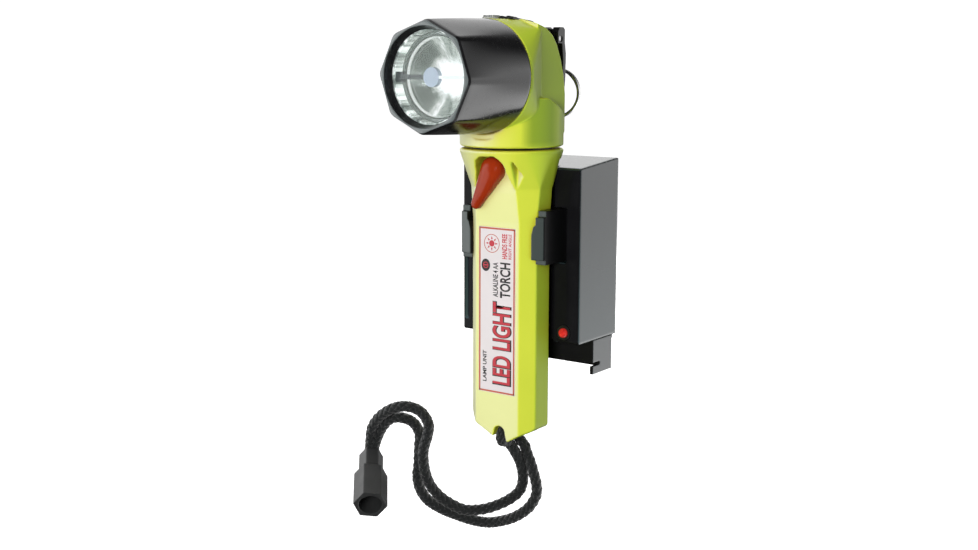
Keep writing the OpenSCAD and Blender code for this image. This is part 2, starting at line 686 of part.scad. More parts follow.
/* cradle arms */
// [x, y] section of the right hand arm
arm_section = [[19.5, -5.7], [17.4, -8], [18.3, -9.4], [24.4, -8.2], [25, -7.4], [25, 12],
  [28, 14.2], [30.4, 16], [30.4, 20.4], [27, 21.4], [23.6, 20.2], [23.6, 14.8],
  [19.5, 11.6]];
// [x, z] outline cut away toward x = 0, which rounds the upper inner edge
arm_cut = [[-5, -20], [17.4, -20], [17.5, 5], [18.2, 12], [19.2, 15.6], [20.4, 16.8],
  [20.4, 40], [-5, 40]];
module arm() difference() {
  translate([0, 0, arm_z]) linear_extrude(arm_h) polygon(arm_section);
  // front plate lower than the side
  box([-5, -12, arm_top - 3], [31, -6.4, 40]);
  box([-5, -12, -20], [31, -6.4, arm_z + 2.4]);
  front_prism(-20, 20, arm_cut);
  // pin bore and spring room
  translate([arm_pin_x, arm_pin_y, arm_z]) {
    post(1.54, -1, 40);
    post(2.9, 9, 8);
  }
}
module arm_right() color(arm_black) at_handle() arm();
module arm_left() color(arm_black) at_handle() mirror([1, 0, 0]) arm();
module arm_pins() color(steel) at_handle() pair(arm_pin_x, arm_z, arm_pin_y)
  post(1.5, -arm_pin_over, arm_h + 2*arm_pin_over);
module arm_springs() color(spring_wire) at_handle()
  pair(arm_pin_x, arm_z + 9.2, arm_pin_y) coil(2.2, 0.3, 7.4, 5);

/* charger electrics */
board_front_y = -18;
module charge_pins() color([0.85, 0.75, 0.45]) pair(contact_x, contact_z) {
  rod(2, handle_y + 12.05, -26);
  rod(2.6, -29.4, -28.4);
}
module pin_springs() color(spring_wire)
  pair(contact_x, contact_z, -26) rotate([-90, 0, 0]) coil(1.6, 0.25, 5, 5);
module pin_block() color(dark_plastic) difference() {
  box([-12.5, -29.6, -31], [12.5, -20.6, -19]);
  pair(contact_x, contact_z) {
    rod(2.7, -30, -27.2);
    rod(2.06, -30, -21);
  }
}
module charger_board() color([0.08, 0.32, 0.18]) difference() {
  box([-24.6, board_front_y, -38], [24.6, -16.4, 38]);
  translate([jack_x, -17, -40]) cylinder(r = 7.2, h = 12);
}
module board_components() color(part_black) {
  box([-8, -21.4, 2], [8, board_front_y, 16]);
  box([12, -20, -10], [20, board_front_y, -4]);
  box([-21, -21, -8], [-13, board_front_y, 2]);
  for (x = [-16, -6, 16]) translate([x, 0, 28]) rod(3.6, -24.6, board_front_y);
}
module indicator_led() color([0.85, 0.1, 0.1]) at_indicator() {
  rod(2.4, charger_front - 0.6, charger_front + 5);
  rod(2.9, charger_front + 2.5, charger_front + 3.5);
  // domed front
  translate([0, charger_front - 0.5, 0]) difference() {
    sphere(r = 2.4);
    rod(3, 0.1, 4);
  }
}
module led_bezel() color([0.03, 0.03, 0.03]) at_indicator() difference() {
  union() {
    rod(3.2, charger_front - 0.2, charger_front + 2.5);
    rod(3.7, charger_front - 0.4, charger_front);
  }
  rod(2.42, charger_front - 2, charger_front + 4);
}
module led_leads() color([0.75, 0.75, 0.77]) at_indicator() {
  pair(1.2) box([-0.3, charger_front + 5, -0.3], [0.3, -17.4, 0.3]);
  // tails running sideways to the board
  for (s = [-1, 1]) translate([0, 0, s*0.2])
    box([s*0.6 - 2.9, -18.6, 0.3], [s*1.2 + 0.3, board_front_y, 0.5]);
}
module power_jack() color(part_black) at_jack() difference() {
  union() {
    post(5, -charger_hh + 0.2, 12);
    post(6.4, -charger_hh + wall, 1.4);
  }
  post(3.2, -charger_hh - 1, 11);
}

handle_body();
label();
switch_lever();
switch_shaft();
switch_seal();
switch_rotor();
switch_detent_spring();
switch_contacts();
battery_cassette();
cells();
cell_springs();
cell_plates();
contact_strips();
charge_contacts();
lanyard_pin();
head_housing();
neck_coupling_ring();
neck_seal();
head_contacts();
shroud();
shroud_seal();
lens_seal();
lens();
led_bridge();
led_emitter();
reflector();
lamp_body();
driver_board();
lamp_leads();
vent_plug();
clip_bracket();
clip_screws();
belt_clip();
clip_pin();
clip_spring();
split_ring();
lanyard_cord();
lanyard_toggle();
charger_housing();
charger_cover();
cover_screws();
mounting_bracket();
bracket_fixing_screws();
arm_left();
arm_right();
arm_pins();
arm_springs();
charge_pins();
pin_springs();
pin_block();
charger_board();
board_components();
indicator_led();
led_bezel();
led_leads();
power_jack();
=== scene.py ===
import bpy, math, random
from mathutils import Vector, Matrix, noise
import numpy as np

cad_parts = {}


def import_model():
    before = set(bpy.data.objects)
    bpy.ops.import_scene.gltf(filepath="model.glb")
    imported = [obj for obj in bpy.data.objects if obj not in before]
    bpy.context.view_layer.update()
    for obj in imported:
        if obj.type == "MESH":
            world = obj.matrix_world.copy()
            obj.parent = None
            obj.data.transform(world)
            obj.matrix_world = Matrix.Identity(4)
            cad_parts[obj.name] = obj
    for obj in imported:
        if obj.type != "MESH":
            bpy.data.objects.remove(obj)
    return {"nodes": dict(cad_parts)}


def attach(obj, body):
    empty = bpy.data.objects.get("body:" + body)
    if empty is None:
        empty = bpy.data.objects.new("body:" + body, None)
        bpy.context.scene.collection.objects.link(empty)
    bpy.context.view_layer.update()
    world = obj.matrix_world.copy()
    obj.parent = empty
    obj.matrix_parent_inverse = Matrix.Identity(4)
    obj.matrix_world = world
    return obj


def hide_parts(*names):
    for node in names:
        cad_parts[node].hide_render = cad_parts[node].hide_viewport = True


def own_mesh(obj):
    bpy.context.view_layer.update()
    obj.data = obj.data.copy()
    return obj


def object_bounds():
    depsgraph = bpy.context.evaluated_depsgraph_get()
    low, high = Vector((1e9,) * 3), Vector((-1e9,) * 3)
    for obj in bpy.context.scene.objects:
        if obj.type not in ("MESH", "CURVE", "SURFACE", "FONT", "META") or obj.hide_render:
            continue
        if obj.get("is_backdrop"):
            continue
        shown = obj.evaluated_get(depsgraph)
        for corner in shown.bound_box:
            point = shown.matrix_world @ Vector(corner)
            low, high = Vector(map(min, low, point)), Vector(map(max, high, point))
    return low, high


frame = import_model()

random.seed(7)
N = frame["nodes"]


def plain(b):
    if isinstance(b, dict):
        return {str(k): plain(v) for k, v in b.items()}
    if isinstance(b, (list, tuple, Vector, np.ndarray)):
        return [plain(v) for v in b]
    if isinstance(b, (float, int, str)) or b is None:
        return b
    return float(b)


plain(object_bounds())
MM = 0.001
HY = -44.5          # handle axis
BZ = 87.6           # beam axis
scene = bpy.context.scene
for attr, value in (("view_transform", "Standard"), ("look", "None")):
    try:
        setattr(scene.view_settings, attr, value)
    except TypeError:
        pass

# ---------------------------------------------------------------- materials


class Tree:
    def __init__(self, name):
        self.m = bpy.data.materials.new(name)
        self.m.use_nodes = True
        self.t = self.m.node_tree
        self.t.nodes.clear()
        self.out = self.n("ShaderNodeOutputMaterial")

    def n(self, kind, **kw):
        node = self.t.nodes.new(kind)
        for k, v in kw.items():
            setattr(node, k, v)
        return node

    def l(self, a, b):
        self.t.links.new(a, b)

    def math(self, op, a, b=None, c=None, clamp=False):
        node = self.n("ShaderNodeMath", operation=op, use_clamp=clamp)
        for i, v in enumerate((a, b, c)):
            if v is None:
                continue
            if isinstance(v, (int, float)):
                node.inputs[i].default_value = v
            else:
                self.l(v, node.inputs[i])
        return node.outputs[0]

    def ramp(self, fac, stops, interp="LINEAR"):
        r = self.n("ShaderNodeValToRGB")
        r.color_ramp.interpolation = interp
        el = r.color_ramp.elements
        while len(el) > 1:
            el.remove(el[-1])
        el[0].position, el[0].color = stops[0][0], rgba(stops[0][1])
        for p, c in stops[1:]:
            e = el.new(p)
            e.color = rgba(c)
        self.l(fac, r.inputs[0])
        return r.outputs[0]

    def noise(self, vec, scale, detail=3, rough=0.5):
        x = self.n("ShaderNodeTexNoise")
        x.inputs["Scale"].default_value = scale
        x.inputs["Detail"].default_value = detail
        x.inputs["Roughness"].default_value = rough
        if vec is not None:
            self.l(vec, x.inputs["Vector"])
        return x.outputs[0]

    def obj(self):
        return self.n("ShaderNodeTexCoord").outputs["Object"]


def rgba(c):
    if isinstance(c, (int, float)):
        return (c, c, c, 1)
    return (c[0], c[1], c[2], 1)


def plastic(name, col, col2=None, rough=0.35, rvar=0.06, spec=0.5, bump=0.02, bscale=2600, round_=0.0006, speck=0.0, coat=0.0, scratch=0.0, sss=0.0):
    """moulded plastic: faint tone drift, fine moulding grain, rounded edges, hairline marks"""
    T = Tree(name)
    co = T.obj()
    b = T.n("ShaderNodeBsdfPrincipled")
    T.l(b.outputs[0], T.out.inputs[0])
    big = T.noise(co, 45, 4, 0.55)
    fine = T.noise(co, bscale, 2, 0.6)
    col2 = col2 or [c * 0.86 for c in col]
    base = T.ramp(big, [(0.3, col2), (0.72, col)])
    if speck:
        sp = T.noise(co, 1500, 1)
        mixc = T.n("ShaderNodeMix", data_type="RGBA", blend_type="MULTIPLY")
        mixc.inputs[0].default_value = speck
        T.l(base, mixc.inputs[6])
        T.l(T.ramp(sp, [(0.35, 0.7), (0.6, 1.0)]), mixc.inputs[7])
        base = mixc.outputs[2]
    T.l(base, b.inputs["Base Color"])
    rr = T.math("MULTIPLY_ADD", T.noise(co, 160, 5, 0.6), 2 * rvar, rough - rvar)
    if scratch:
        w = T.n("ShaderNodeTexWave", wave_type="BANDS", bands_direction="DIAGONAL")
        w.inputs["Scale"].default_value = 60
        w.inputs["Distortion"].default_value = 14
        w.inputs["Detail"].default_value = 4
        w.inputs["Detail Scale"].default_value = 3
        T.l(co, w.inputs["Vector"])
        line = T.ramp(w.outputs[1], [(0.0, 1.0), (0.012, 0.0)])
        rr = T.math("MULTIPLY_ADD", line, scratch, rr)
    T.l(rr, b.inputs["Roughness"])
    b.inputs["Specular IOR Level"].default_value = spec
    if coat:
        b.inputs["Coat Weight"].default_value = coat
        b.inputs["Coat Roughness"].default_value = 0.05
    if sss:
        b.inputs["Subsurface Weight"].default_value = sss
        b.inputs["Subsurface Radius"].default_value = (0.002, 0.002, 0.0005)
        b.inputs["Subsurface Scale"].default_value = 1.0
    bp = T.n("ShaderNodeBump")
    bp.inputs["Strength"].default_value = bump
    bp.inputs["Distance"].default_value = 0.0002
    T.l(fine, bp.inputs["Height"])
    if round_:
        bev = T.n("ShaderNodeBevel", samples=6)
        bev.inputs["Radius"].default_value = round_
        T.l(bev.outputs[0], bp.inputs["Normal"])
    T.l(bp.outputs[0], b.inputs["Normal"])
    return T.m


def metal(name, col, rough=0.25, aniso_scale=None, bump=0.03, rvar=0.08, round_=0.0002):
    T = Tree(name)
    co = T.obj()
    b = T.n("ShaderNodeBsdfPrincipled")
    T.l(b.outputs[0], T.out.inputs[0])
    b.inputs["Metallic"].default_value = 1
    mp = T.n("ShaderNodeMapping")
    mp.inputs["Scale"].default_value = aniso_scale or (1, 1, 1)
    T.l(co, mp.inputs["Vector"])
    g = T.noise(mp.outputs[0], 900, 4, 0.6)
    T.l(T.ramp(T.noise(co, 120, 3), [(0.3, [c * 0.8 for c in col]), (0.7, col)]), b.inputs["Base Color"])
    T.l(T.math("MULTIPLY_ADD", g, 2 * rvar, rough - rvar), b.inputs["Roughness"])
    bp = T.n("ShaderNodeBump")
    bp.inputs["Strength"].default_value = bump
    bp.inputs["Distance"].default_value = 0.0001
    T.l(g, bp.inputs["Height"])
    if round_:
        bev = T.n("ShaderNodeBevel", samples=4)
        bev.inputs["Radius"].default_value = round_
        T.l(bev.outputs[0], bp.inputs["Normal"])
    T.l(bp.outputs[0], b.inputs["Normal"])
    return T.m


LIME = (0.50, 0.70, 0.035)
M = {}


def lime():
    T = Tree("lime_shell")
    co = T.obj()
    b = T.n("ShaderNodeBsdfPrincipled")
    # painted light: faces turned toward the front-left key light get a paler, whiter base colour (painted sheen),
    # faces turned away a greener, darker one
    geo = T.n("ShaderNodeNewGeometry")
    dp = T.n("ShaderNodeVectorMath", operation="DOT_PRODUCT")
    dp.inputs[1].default_value = Vector((-0.56, -0.80, 0.2)).normalized()
    T.l(geo.outputs["Normal"], dp.inputs[0])
    f = T.math("MULTIPLY_ADD", dp.outputs["Value"], 0.5, 0.5)
    tone = T.ramp(f, [(0.15, (0.60, 0.80, 0.055)), (0.45, (0.68, 0.86, 0.06)), (0.60, (0.80, 0.88, 0.075)), (0.76, (0.83, 0.87, 0.12)), (0.90, (0.84, 0.86, 0.38)), (1.0, (0.85, 0.86, 0.50))])
    drift = T.noise(co, 40, 4, 0.55)
    mx = T.n("ShaderNodeMix", data_type="RGBA", blend_type="MULTIPLY")
    mx.inputs[0].default_value = 1.0
    T.l(tone, mx.inputs[6])
    T.l(T.ramp(drift, [(0.3, (0.95, 0.96, 0.93)), (0.7, (1.0, 1.0, 1.0))]), mx.inputs[7])
    # the right of the skirt is turned away from the key light
    sd = T.n("ShaderNodeVectorMath", operation="DOT_PRODUCT")
    sd.inputs[1].default_value = (0.94, -0.34, 0)
    T.l(geo.outputs["Normal"], sd.inputs[0])
    wp = T.n("ShaderNodeSeparateXYZ")
    T.l(geo.outputs["Position"], wp.inputs[0])
    k = T.math("MULTIPLY", T.ramp(sd.outputs["Value"], [(0.90, 0.0), (0.975, 1.0)]), T.ramp(T.math("MULTIPLY", wp.outputs[2], 10.0), [(0.50, 0.0), (0.57, 1.0)]))
    k2 = T.n("ShaderNodeMix", data_type="RGBA", blend_type="MULTIPLY")
    T.l(T.math("MULTIPLY", k, 0.85), k2.inputs[0])
    T.l(mx.outputs[2], k2.inputs[6])
    k2.inputs[7].default_value = (0.42, 0.50, 0.60, 1)
    # painted shade: the base colour is darkened to a brownish tone in creases and recesses, read from an ambient
    # occlusion node
    ao = T.n("ShaderNodeAmbientOcclusion", samples=6)
    ao.inputs["Distance"].default_value = 0.012
    k3 = T.n("ShaderNodeMix", data_type="RGBA", blend_type="MULTIPLY")
    T.l(T.ramp(ao.outputs["AO"], [(0.25, 1.0), (0.85, 0.0)]), k3.inputs[0])
    T.l(k2.outputs[2], k3.inputs[6])
    k3.inputs[7].default_value = (0.78, 0.60, 0.45, 1)
    T.l(k3.outputs[2], b.inputs["Base Color"])
    T.l(T.math("MULTIPLY_ADD", T.noise(co, 160, 5, 0.6), 0.10, 0.36), b.inputs["Roughness"])
    b.inputs["Specular IOR Level"].default_value = 0.32
    bp = T.n("ShaderNodeBump")
    bp.inputs["Strength"].default_value = 0.05
    bp.inputs["Distance"].default_value = 0.0002
    T.l(T.noise(co, 2400, 2, 0.6), bp.inputs["Height"])
    bev = T.n("ShaderNodeBevel", samples=6)
    bev.inputs["Radius"].default_value = 0.0006
    T.l(bev.outputs[0], bp.inputs["Normal"])
    T.l(bp.outputs[0], b.inputs["Normal"])
    T.l(b.outputs[0], T.out.inputs[0])
    return T.m


M["lime"] = lime()
M["gloss"] = plastic("gloss_black", (0.012, 0.012, 0.013), (0.008, 0.008, 0.009), rough=0.13, rvar=0.03, spec=0.55, bump=0.006, bscale=700, round_=0.0006, scratch=0.12)
M["shroud"] = plastic("shroud_black", (0.012, 0.012, 0.013), (0.007, 0.007, 0.008), rough=0.16, rvar=0.04, spec=0.6, bump=0.01, bscale=900, round_=0.0004, scratch=0.15)


def dark_below(m):
    """glossy black that stops mirroring what is under it"""
    t = m.node_tree
    b = next(k for k in t.nodes if k.type == "BSDF_PRINCIPLED")
    g = t.nodes.new("ShaderNodeNewGeometry")
    sp = t.nodes.new("ShaderNodeSeparateXYZ")
    t.links.new(g.outputs["True Normal"], sp.inputs[0])
    r = t.nodes.new("ShaderNodeMapRange")
    r.inputs["From Min"].default_value = -0.86
    r.inputs["From Max"].default_value = -0.60
    r.inputs["To Min"].default_value = 0.10
    r.inputs["To Max"].default_value = 0.62
    t.links.new(sp.outputs[2], r.inputs["Value"])
    t.links.new(r.outputs[0], b.inputs["Specular IOR Level"])


dark_below(M["shroud"])


# painted highlight: the narrow front-facing rim of the shroud gets a lighter base colour, standing in for edge
# reflections
def lit_rim(m):
    t = m.node_tree
    b = next(k for k in t.nodes if k.type == "BSDF_PRINCIPLED")
    tc = t.nodes.new("ShaderNodeTexCoord")
    g = t.nodes.new("ShaderNodeNewGeometry")
    dp = t.nodes.new("ShaderNodeVectorMath")
    dp.operation = "DOT_PRODUCT"
    dp.inputs[1].default_value = (0, -1, 0)
    t.links.new(g.outputs["Normal"], dp.inputs[0])
    a = t.nodes.new("ShaderNodeMapRange")
    a.inputs["From Min"].default_value = 0.35
    a.inputs["From Max"].default_value = 0.75
    t.links.new(dp.outputs["Value"], a.inputs["Value"])
    sp = t.nodes.new("ShaderNodeSeparateXYZ")
    t.links.new(tc.outputs["Object"], sp.inputs[0])
    q = t.nodes.new("ShaderNodeMath")
    q.operation = "LESS_THAN"
    q.inputs[1].default_value = (HY - 69.8 + 0.34) * MM
    t.links.new(sp.outputs[1], q.inputs[0])
    mu = t.nodes.new("ShaderNodeMath")
    mu.operation = "MULTIPLY"
    t.links.new(a.outputs[0], mu.inputs[0])
    t.links.new(q.outputs[0], mu.inputs[1])
    mx = t.nodes.new("ShaderNodeMix")
    mx.data_type = "RGBA"
    mx.inputs[7].default_value = (0.15, 0.17, 0.17, 1)
    t.links.new(mu.outputs[0], mx.inputs[0])
    t.links.new(b.inputs["Base Color"].links[0].from_socket, mx.inputs[6])
    t.links.new(mx.outputs[2], b.inputs["Base Color"])


lit_rim(M["shroud"])
M["box"] = plastic("charger_black", (0.010, 0.010, 0.011), (0.006, 0.006, 0.007), rough=0.15, rvar=0.03, spec=0.9, bump=0.012, bscale=1400, round_=0.0014, scratch=0.1)


def by_facing(m, direction, lo, hi, spec_lo, spec_hi, tint=None, z_grow=0.0):
    """gloss, and a painted sheen added to the base colour, both by which way the face looks; the painted sheen grows
    towards the bottom
    """
    t = m.node_tree
    b = next(k for k in t.nodes if k.type == "BSDF_PRINCIPLED")
    g = t.nodes.new("ShaderNodeNewGeometry")
    dp = t.nodes.new("ShaderNodeVectorMath")
    dp.operation = "DOT_PRODUCT"
    dp.inputs[1].default_value = Vector(direction).normalized()
    t.links.new(g.outputs["True Normal"], dp.inputs[0])
    r = t.nodes.new("ShaderNodeMapRange")
    r.inputs["From Min"].default_value = lo
    r.inputs["From Max"].default_value = hi
    r.inputs["To Min"].default_value = spec_lo
    r.inputs["To Max"].default_value = spec_hi
    t.links.new(dp.outputs["Value"], r.inputs["Value"])
    t.links.new(r.outputs[0], b.inputs["Specular IOR Level"])
    # painted sheen: the tint colour is added to the base colour on faces turned toward direction, more strongly lower
    # down
    if tint:
        q = t.nodes.new("ShaderNodeMapRange")
        q.inputs["From Min"].default_value = lo
        q.inputs["From Max"].default_value = hi
        t.links.new(dp.outputs["Value"], q.inputs["Value"])
        sp = t.nodes.new("ShaderNodeSeparateXYZ")
        t.links.new(g.outputs["Position"], sp.inputs[0])
        zr = t.nodes.new("ShaderNodeMapRange")
        zr.inputs["From Min"].default_value = 0.03
        zr.inputs["From Max"].default_value = -0.05
        zr.inputs["To Min"].default_value = 1.0
        zr.inputs["To Max"].default_value = 1.0 + z_grow
        t.links.new(sp.outputs[2], zr.inputs["Value"])
        mu = t.nodes.new("ShaderNodeMath")
        mu.operation = "MULTIPLY"
        t.links.new(q.outputs[0], mu.inputs[0])
        t.links.new(zr.outputs[0], mu.inputs[1])
        sc = t.nodes.new("ShaderNodeVectorMath")
        sc.operation = "SCALE"
        sc.inputs[0].default_value = tint
        t.links.new(mu.outputs[0], sc.inputs["Scale"])
        add = t.nodes.new("ShaderNodeMix")
        add.data_type = "RGBA"
        add.blend_type = "ADD"
        add.inputs[0].default_value = 1.0
        t.links.new(b.inputs["Base Color"].links[0].from_socket, add.inputs[6])
        t.links.new(sc.outputs[0], add.inputs[7])
        t.links.new(add.outputs[2], b.inputs["Base Color"])


# painted sheen: box faces turned right and upward get a lighter bluish base colour, growing towards the bottom
by_facing(M["box"], (1, 0, 0.9), 0.10, 0.45, 0.08, 1.0, (0.012, 0.022, 0.024), 2.6)
M["satin"] = plastic("satin_black", (0.016, 0.016, 0.017), (0.010, 0.010, 0.011), rough=0.3, rvar=0.06, spec=0.5, bump=0.08, bscale=2200, round_=0.0006)
M["bracket"] = plastic("bracket_black", (0.012, 0.012, 0.012), (0.008, 0.008, 0.008), rough=0.24, rvar=0.05, spec=0.6, bump=0.04, bscale=1800, round_=0.0003)
# painted sheen: bracket faces turned right get a lighter base colour
by_facing(M["bracket"], (1, 0, 0.3), 0.2, 0.7, 0.05, 0.9, (0.085, 0.10, 0.105))
M["arm"] = plastic("arm_black", (0.008, 0.008, 0.009), (0.006, 0.006, 0.006), rough=0.3, rvar=0.06, spec=0.5, bump=0.06, bscale=2000, round_=0.0007)
# painted light: arm faces turned to the front get a lighter base colour
by_facing(M["arm"], (0, -1, 0), 0.55, 0.9, 0.15, 0.5, (0.052, 0.066, 0.062))
M["toggle"] = plastic("toggle_black", (0.040, 0.041, 0.041), (0.028, 0.029, 0.029), rough=0.42, rvar=0.08, spec=0.5, bump=0.12, bscale=1500, round_=0.0006, speck=0.3)
M["rubber"] = plastic("seal_rubber", (0.018, 0.018, 0.018), (0.01, 0.01, 0.01), rough=0.65, bump=0.15, bscale=1600, spec=0.3, round_=0)
M["lever"] = plastic("lever_red", (0.40, 0.040, 0.008), (0.30, 0.026, 0.005), rough=0.20, rvar=0.04, spec=0.22, bump=0.03, bscale=1800, round_=0.0009)
M["steel"] = metal("steel", (0.62, 0.62, 0.62), 0.25, (1, 1, 14))
M["ring"] = metal("ring_steel", (0.86, 0.86, 0.85), 0.22, (1, 1, 1), 0.015, 0.05, 0)
M["chrome"] = metal("spring_wire", (0.75, 0.75, 0.74), 0.14)
M["alloy"] = metal("lamp_alloy", (0.68, 0.69, 0.7), 0.3, (1, 30, 1))


def bridge():
    T = Tree("bridge_metal")
    co = T.obj()
    b = T.n("ShaderNodeBsdfPrincipled")
    sep = T.n("ShaderNodeSeparateXYZ")
    T.l(co, sep.inputs[0])
    x = sep.outputs[0]
    z = T.math("SUBTRACT", sep.outputs[2], BZ * MM)
    r = T.math("SQRT", T.math("ADD", T.math("MULTIPLY", x, x), T.math("MULTIPLY", z, z)))
    ang = T.math("DIVIDE", T.math("ARCTAN2", z, x), math.pi)
    vec = T.n("ShaderNodeCombineXYZ")
    T.l(T.math("MULTIPLY", ang, 4.0), vec.inputs[0])
    T.l(T.math("MULTIPLY", r, 60.0), vec.inputs[1])
    streak = T.noise(vec.outputs[0], 3.0, 4, 0.7)
    # painted light: the outer ring carries bright streaks of the lamp's glare in its base colour
    outer = T.math("GREATER_THAN", r, 0.0204)
    mx = T.n("ShaderNodeMix", data_type="RGBA")
    T.l(outer, mx.inputs[0])
    T.l(T.ramp(T.noise(co, 700, 2), [(0.3, (0.30, 0.37, 0.46)), (0.7, (0.36, 0.43, 0.53))]), mx.inputs[6])
    T.l(T.ramp(streak, [(0.38, (0.12, 0.15, 0.14)), (0.5, (0.34, 0.40, 0.37)), (0.62, (0.85, 0.9, 0.88))]), mx.inputs[7])
    # painted light and shade: the bar is dark on its left and light on its right
    bar = T.n("ShaderNodeMix", data_type="RGBA")
    T.l(T.math("GREATER_THAN", r, 0.00445), bar.inputs[0])
    T.l(mx.inputs[6].links[0].from_socket, bar.inputs[6])
    T.l(T.ramp(T.math("MULTIPLY", x, 50.0), [(0.0, (0.07, 0.085, 0.085)), (0.2, (0.60, 0.64, 0.64))]), bar.inputs[7])
    T.l(bar.outputs[2], mx.inputs[6])
    T.l(mx.outputs[2], b.inputs["Base Color"])
    b.inputs["Roughness"].default_value = 0.5
    # painted light: the bridge glows, strongest in the bright streaks and on the right of the bar, though it is no
    # lamp
    em = T.math("MULTIPLY", outer, T.ramp(streak, [(0.40, 0.03), (0.52, 0.14), (0.62, 0.6)]))
    em = T.math("ADD", em, T.math("MULTIPLY", T.math("GREATER_THAN", x, 0.0044), 0.25))
    b.inputs["Emission Color"].default_value = (0.95, 1, 0.98, 1)
    T.l(T.math("ADD", em, T.math("MULTIPLY", T.math("LESS_THAN", r, 0.0045), 0.05)), b.inputs["Emission Strength"])
    bp = T.n("ShaderNodeBump")
    bp.inputs["Strength"].default_value = 0.15
    bp.inputs["Distance"].default_value = 0.0001
    T.l(streak, bp.inputs["Height"])
    T.l(bp.outputs[0], b.inputs["Normal"])
    T.l(b.outputs[0], T.out.inputs[0])
    return T.m


M["bridge"] = bridge()
M["brass"] = metal("contact_brass", (0.75, 0.55, 0.2), 0.28)
M["cell"] = metal("cell_wrap", (0.3, 0.32, 0.35), 0.35, (1, 1, 20))
M["parts"] = plastic("component_black", (0.03, 0.03, 0.032), rough=0.5, bump=0.1, round_=0.0002)
M["lead"] = plastic("lead_red", (0.4, 0.03, 0.02), rough=0.45, bump=0.1, round_=0)


def pcb():
    T = Tree("board_green")
    co = T.obj()
    b = T.n("ShaderNodeBsdfPrincipled")
    T.l(b.outputs[0], T.out.inputs[0])
    br = T.n("ShaderNodeTexBrick")
    br.inputs["Scale"].default_value = 260
    br.inputs["Mortar Size"].default_value = 0.012
    br.inputs["Color1"].default_value = (0.02, 0.16, 0.07, 1)
    br.inputs["Color2"].default_value = (0.03, 0.21, 0.09, 1)
    br.inputs["Mortar"].default_value = (0.10, 0.35, 0.15, 1)
    T.l(co, br.inputs["Vector"])
    T.l(br.outputs[0], b.inputs["Base Color"])
    b.inputs["Roughness"].default_value = 0.35
    bp = T.n("ShaderNodeBump")
    bp.inputs["Strength"].default_value = 0.2
    bp.inputs["Distance"].default_value = 0.00005
    T.l(br.outputs[1], bp.inputs["Height"])
    T.l(bp.outputs[0], b.inputs["Normal"])
    return T.m


M["pcb"] = pcb()


def glass():
    T = Tree("lens_clear")
    co = T.obj()
    g = T.n("ShaderNodeBsdfGlass")
    g.inputs["IOR"].default_value = 1.2
    g.inputs["Roughness"].default_value = 0.0
    T.l(T.ramp(T.noise(co, 60, 2), [(0.3, (0.96, 0.985, 0.98)), (0.7, (1, 1, 1))]), g.inputs["Color"])
    bp = T.n("ShaderNodeBump")
    bp.inputs["Strength"].default_value = 0.02
    bp.inputs["Distance"].default_value = 0.0001
    T.l(T.noise(co, 90, 2), bp.inputs["Height"])
    T.l(bp.outputs[0], g.inputs["Normal"])
    tr = T.n("ShaderNodeBsdfTransparent")
    tr.inputs[0].default_value = (0.96, 0.97, 0.97, 1)
    lp = T.n("ShaderNodeLightPath")
    mx = T.n("ShaderNodeMixShader")
    fac = T.math("MAXIMUM", lp.outputs["Is Shadow Ray"], lp.outputs["Is Diffuse Ray"])
    T.l(fac, mx.inputs[0])
    T.l(g.outputs[0], mx.inputs[1])
    T.l(tr.outputs[0], mx.inputs[2])
    T.l(mx.outputs[0], T.out.inputs[0])
    return T.m


M["lens"] = glass()


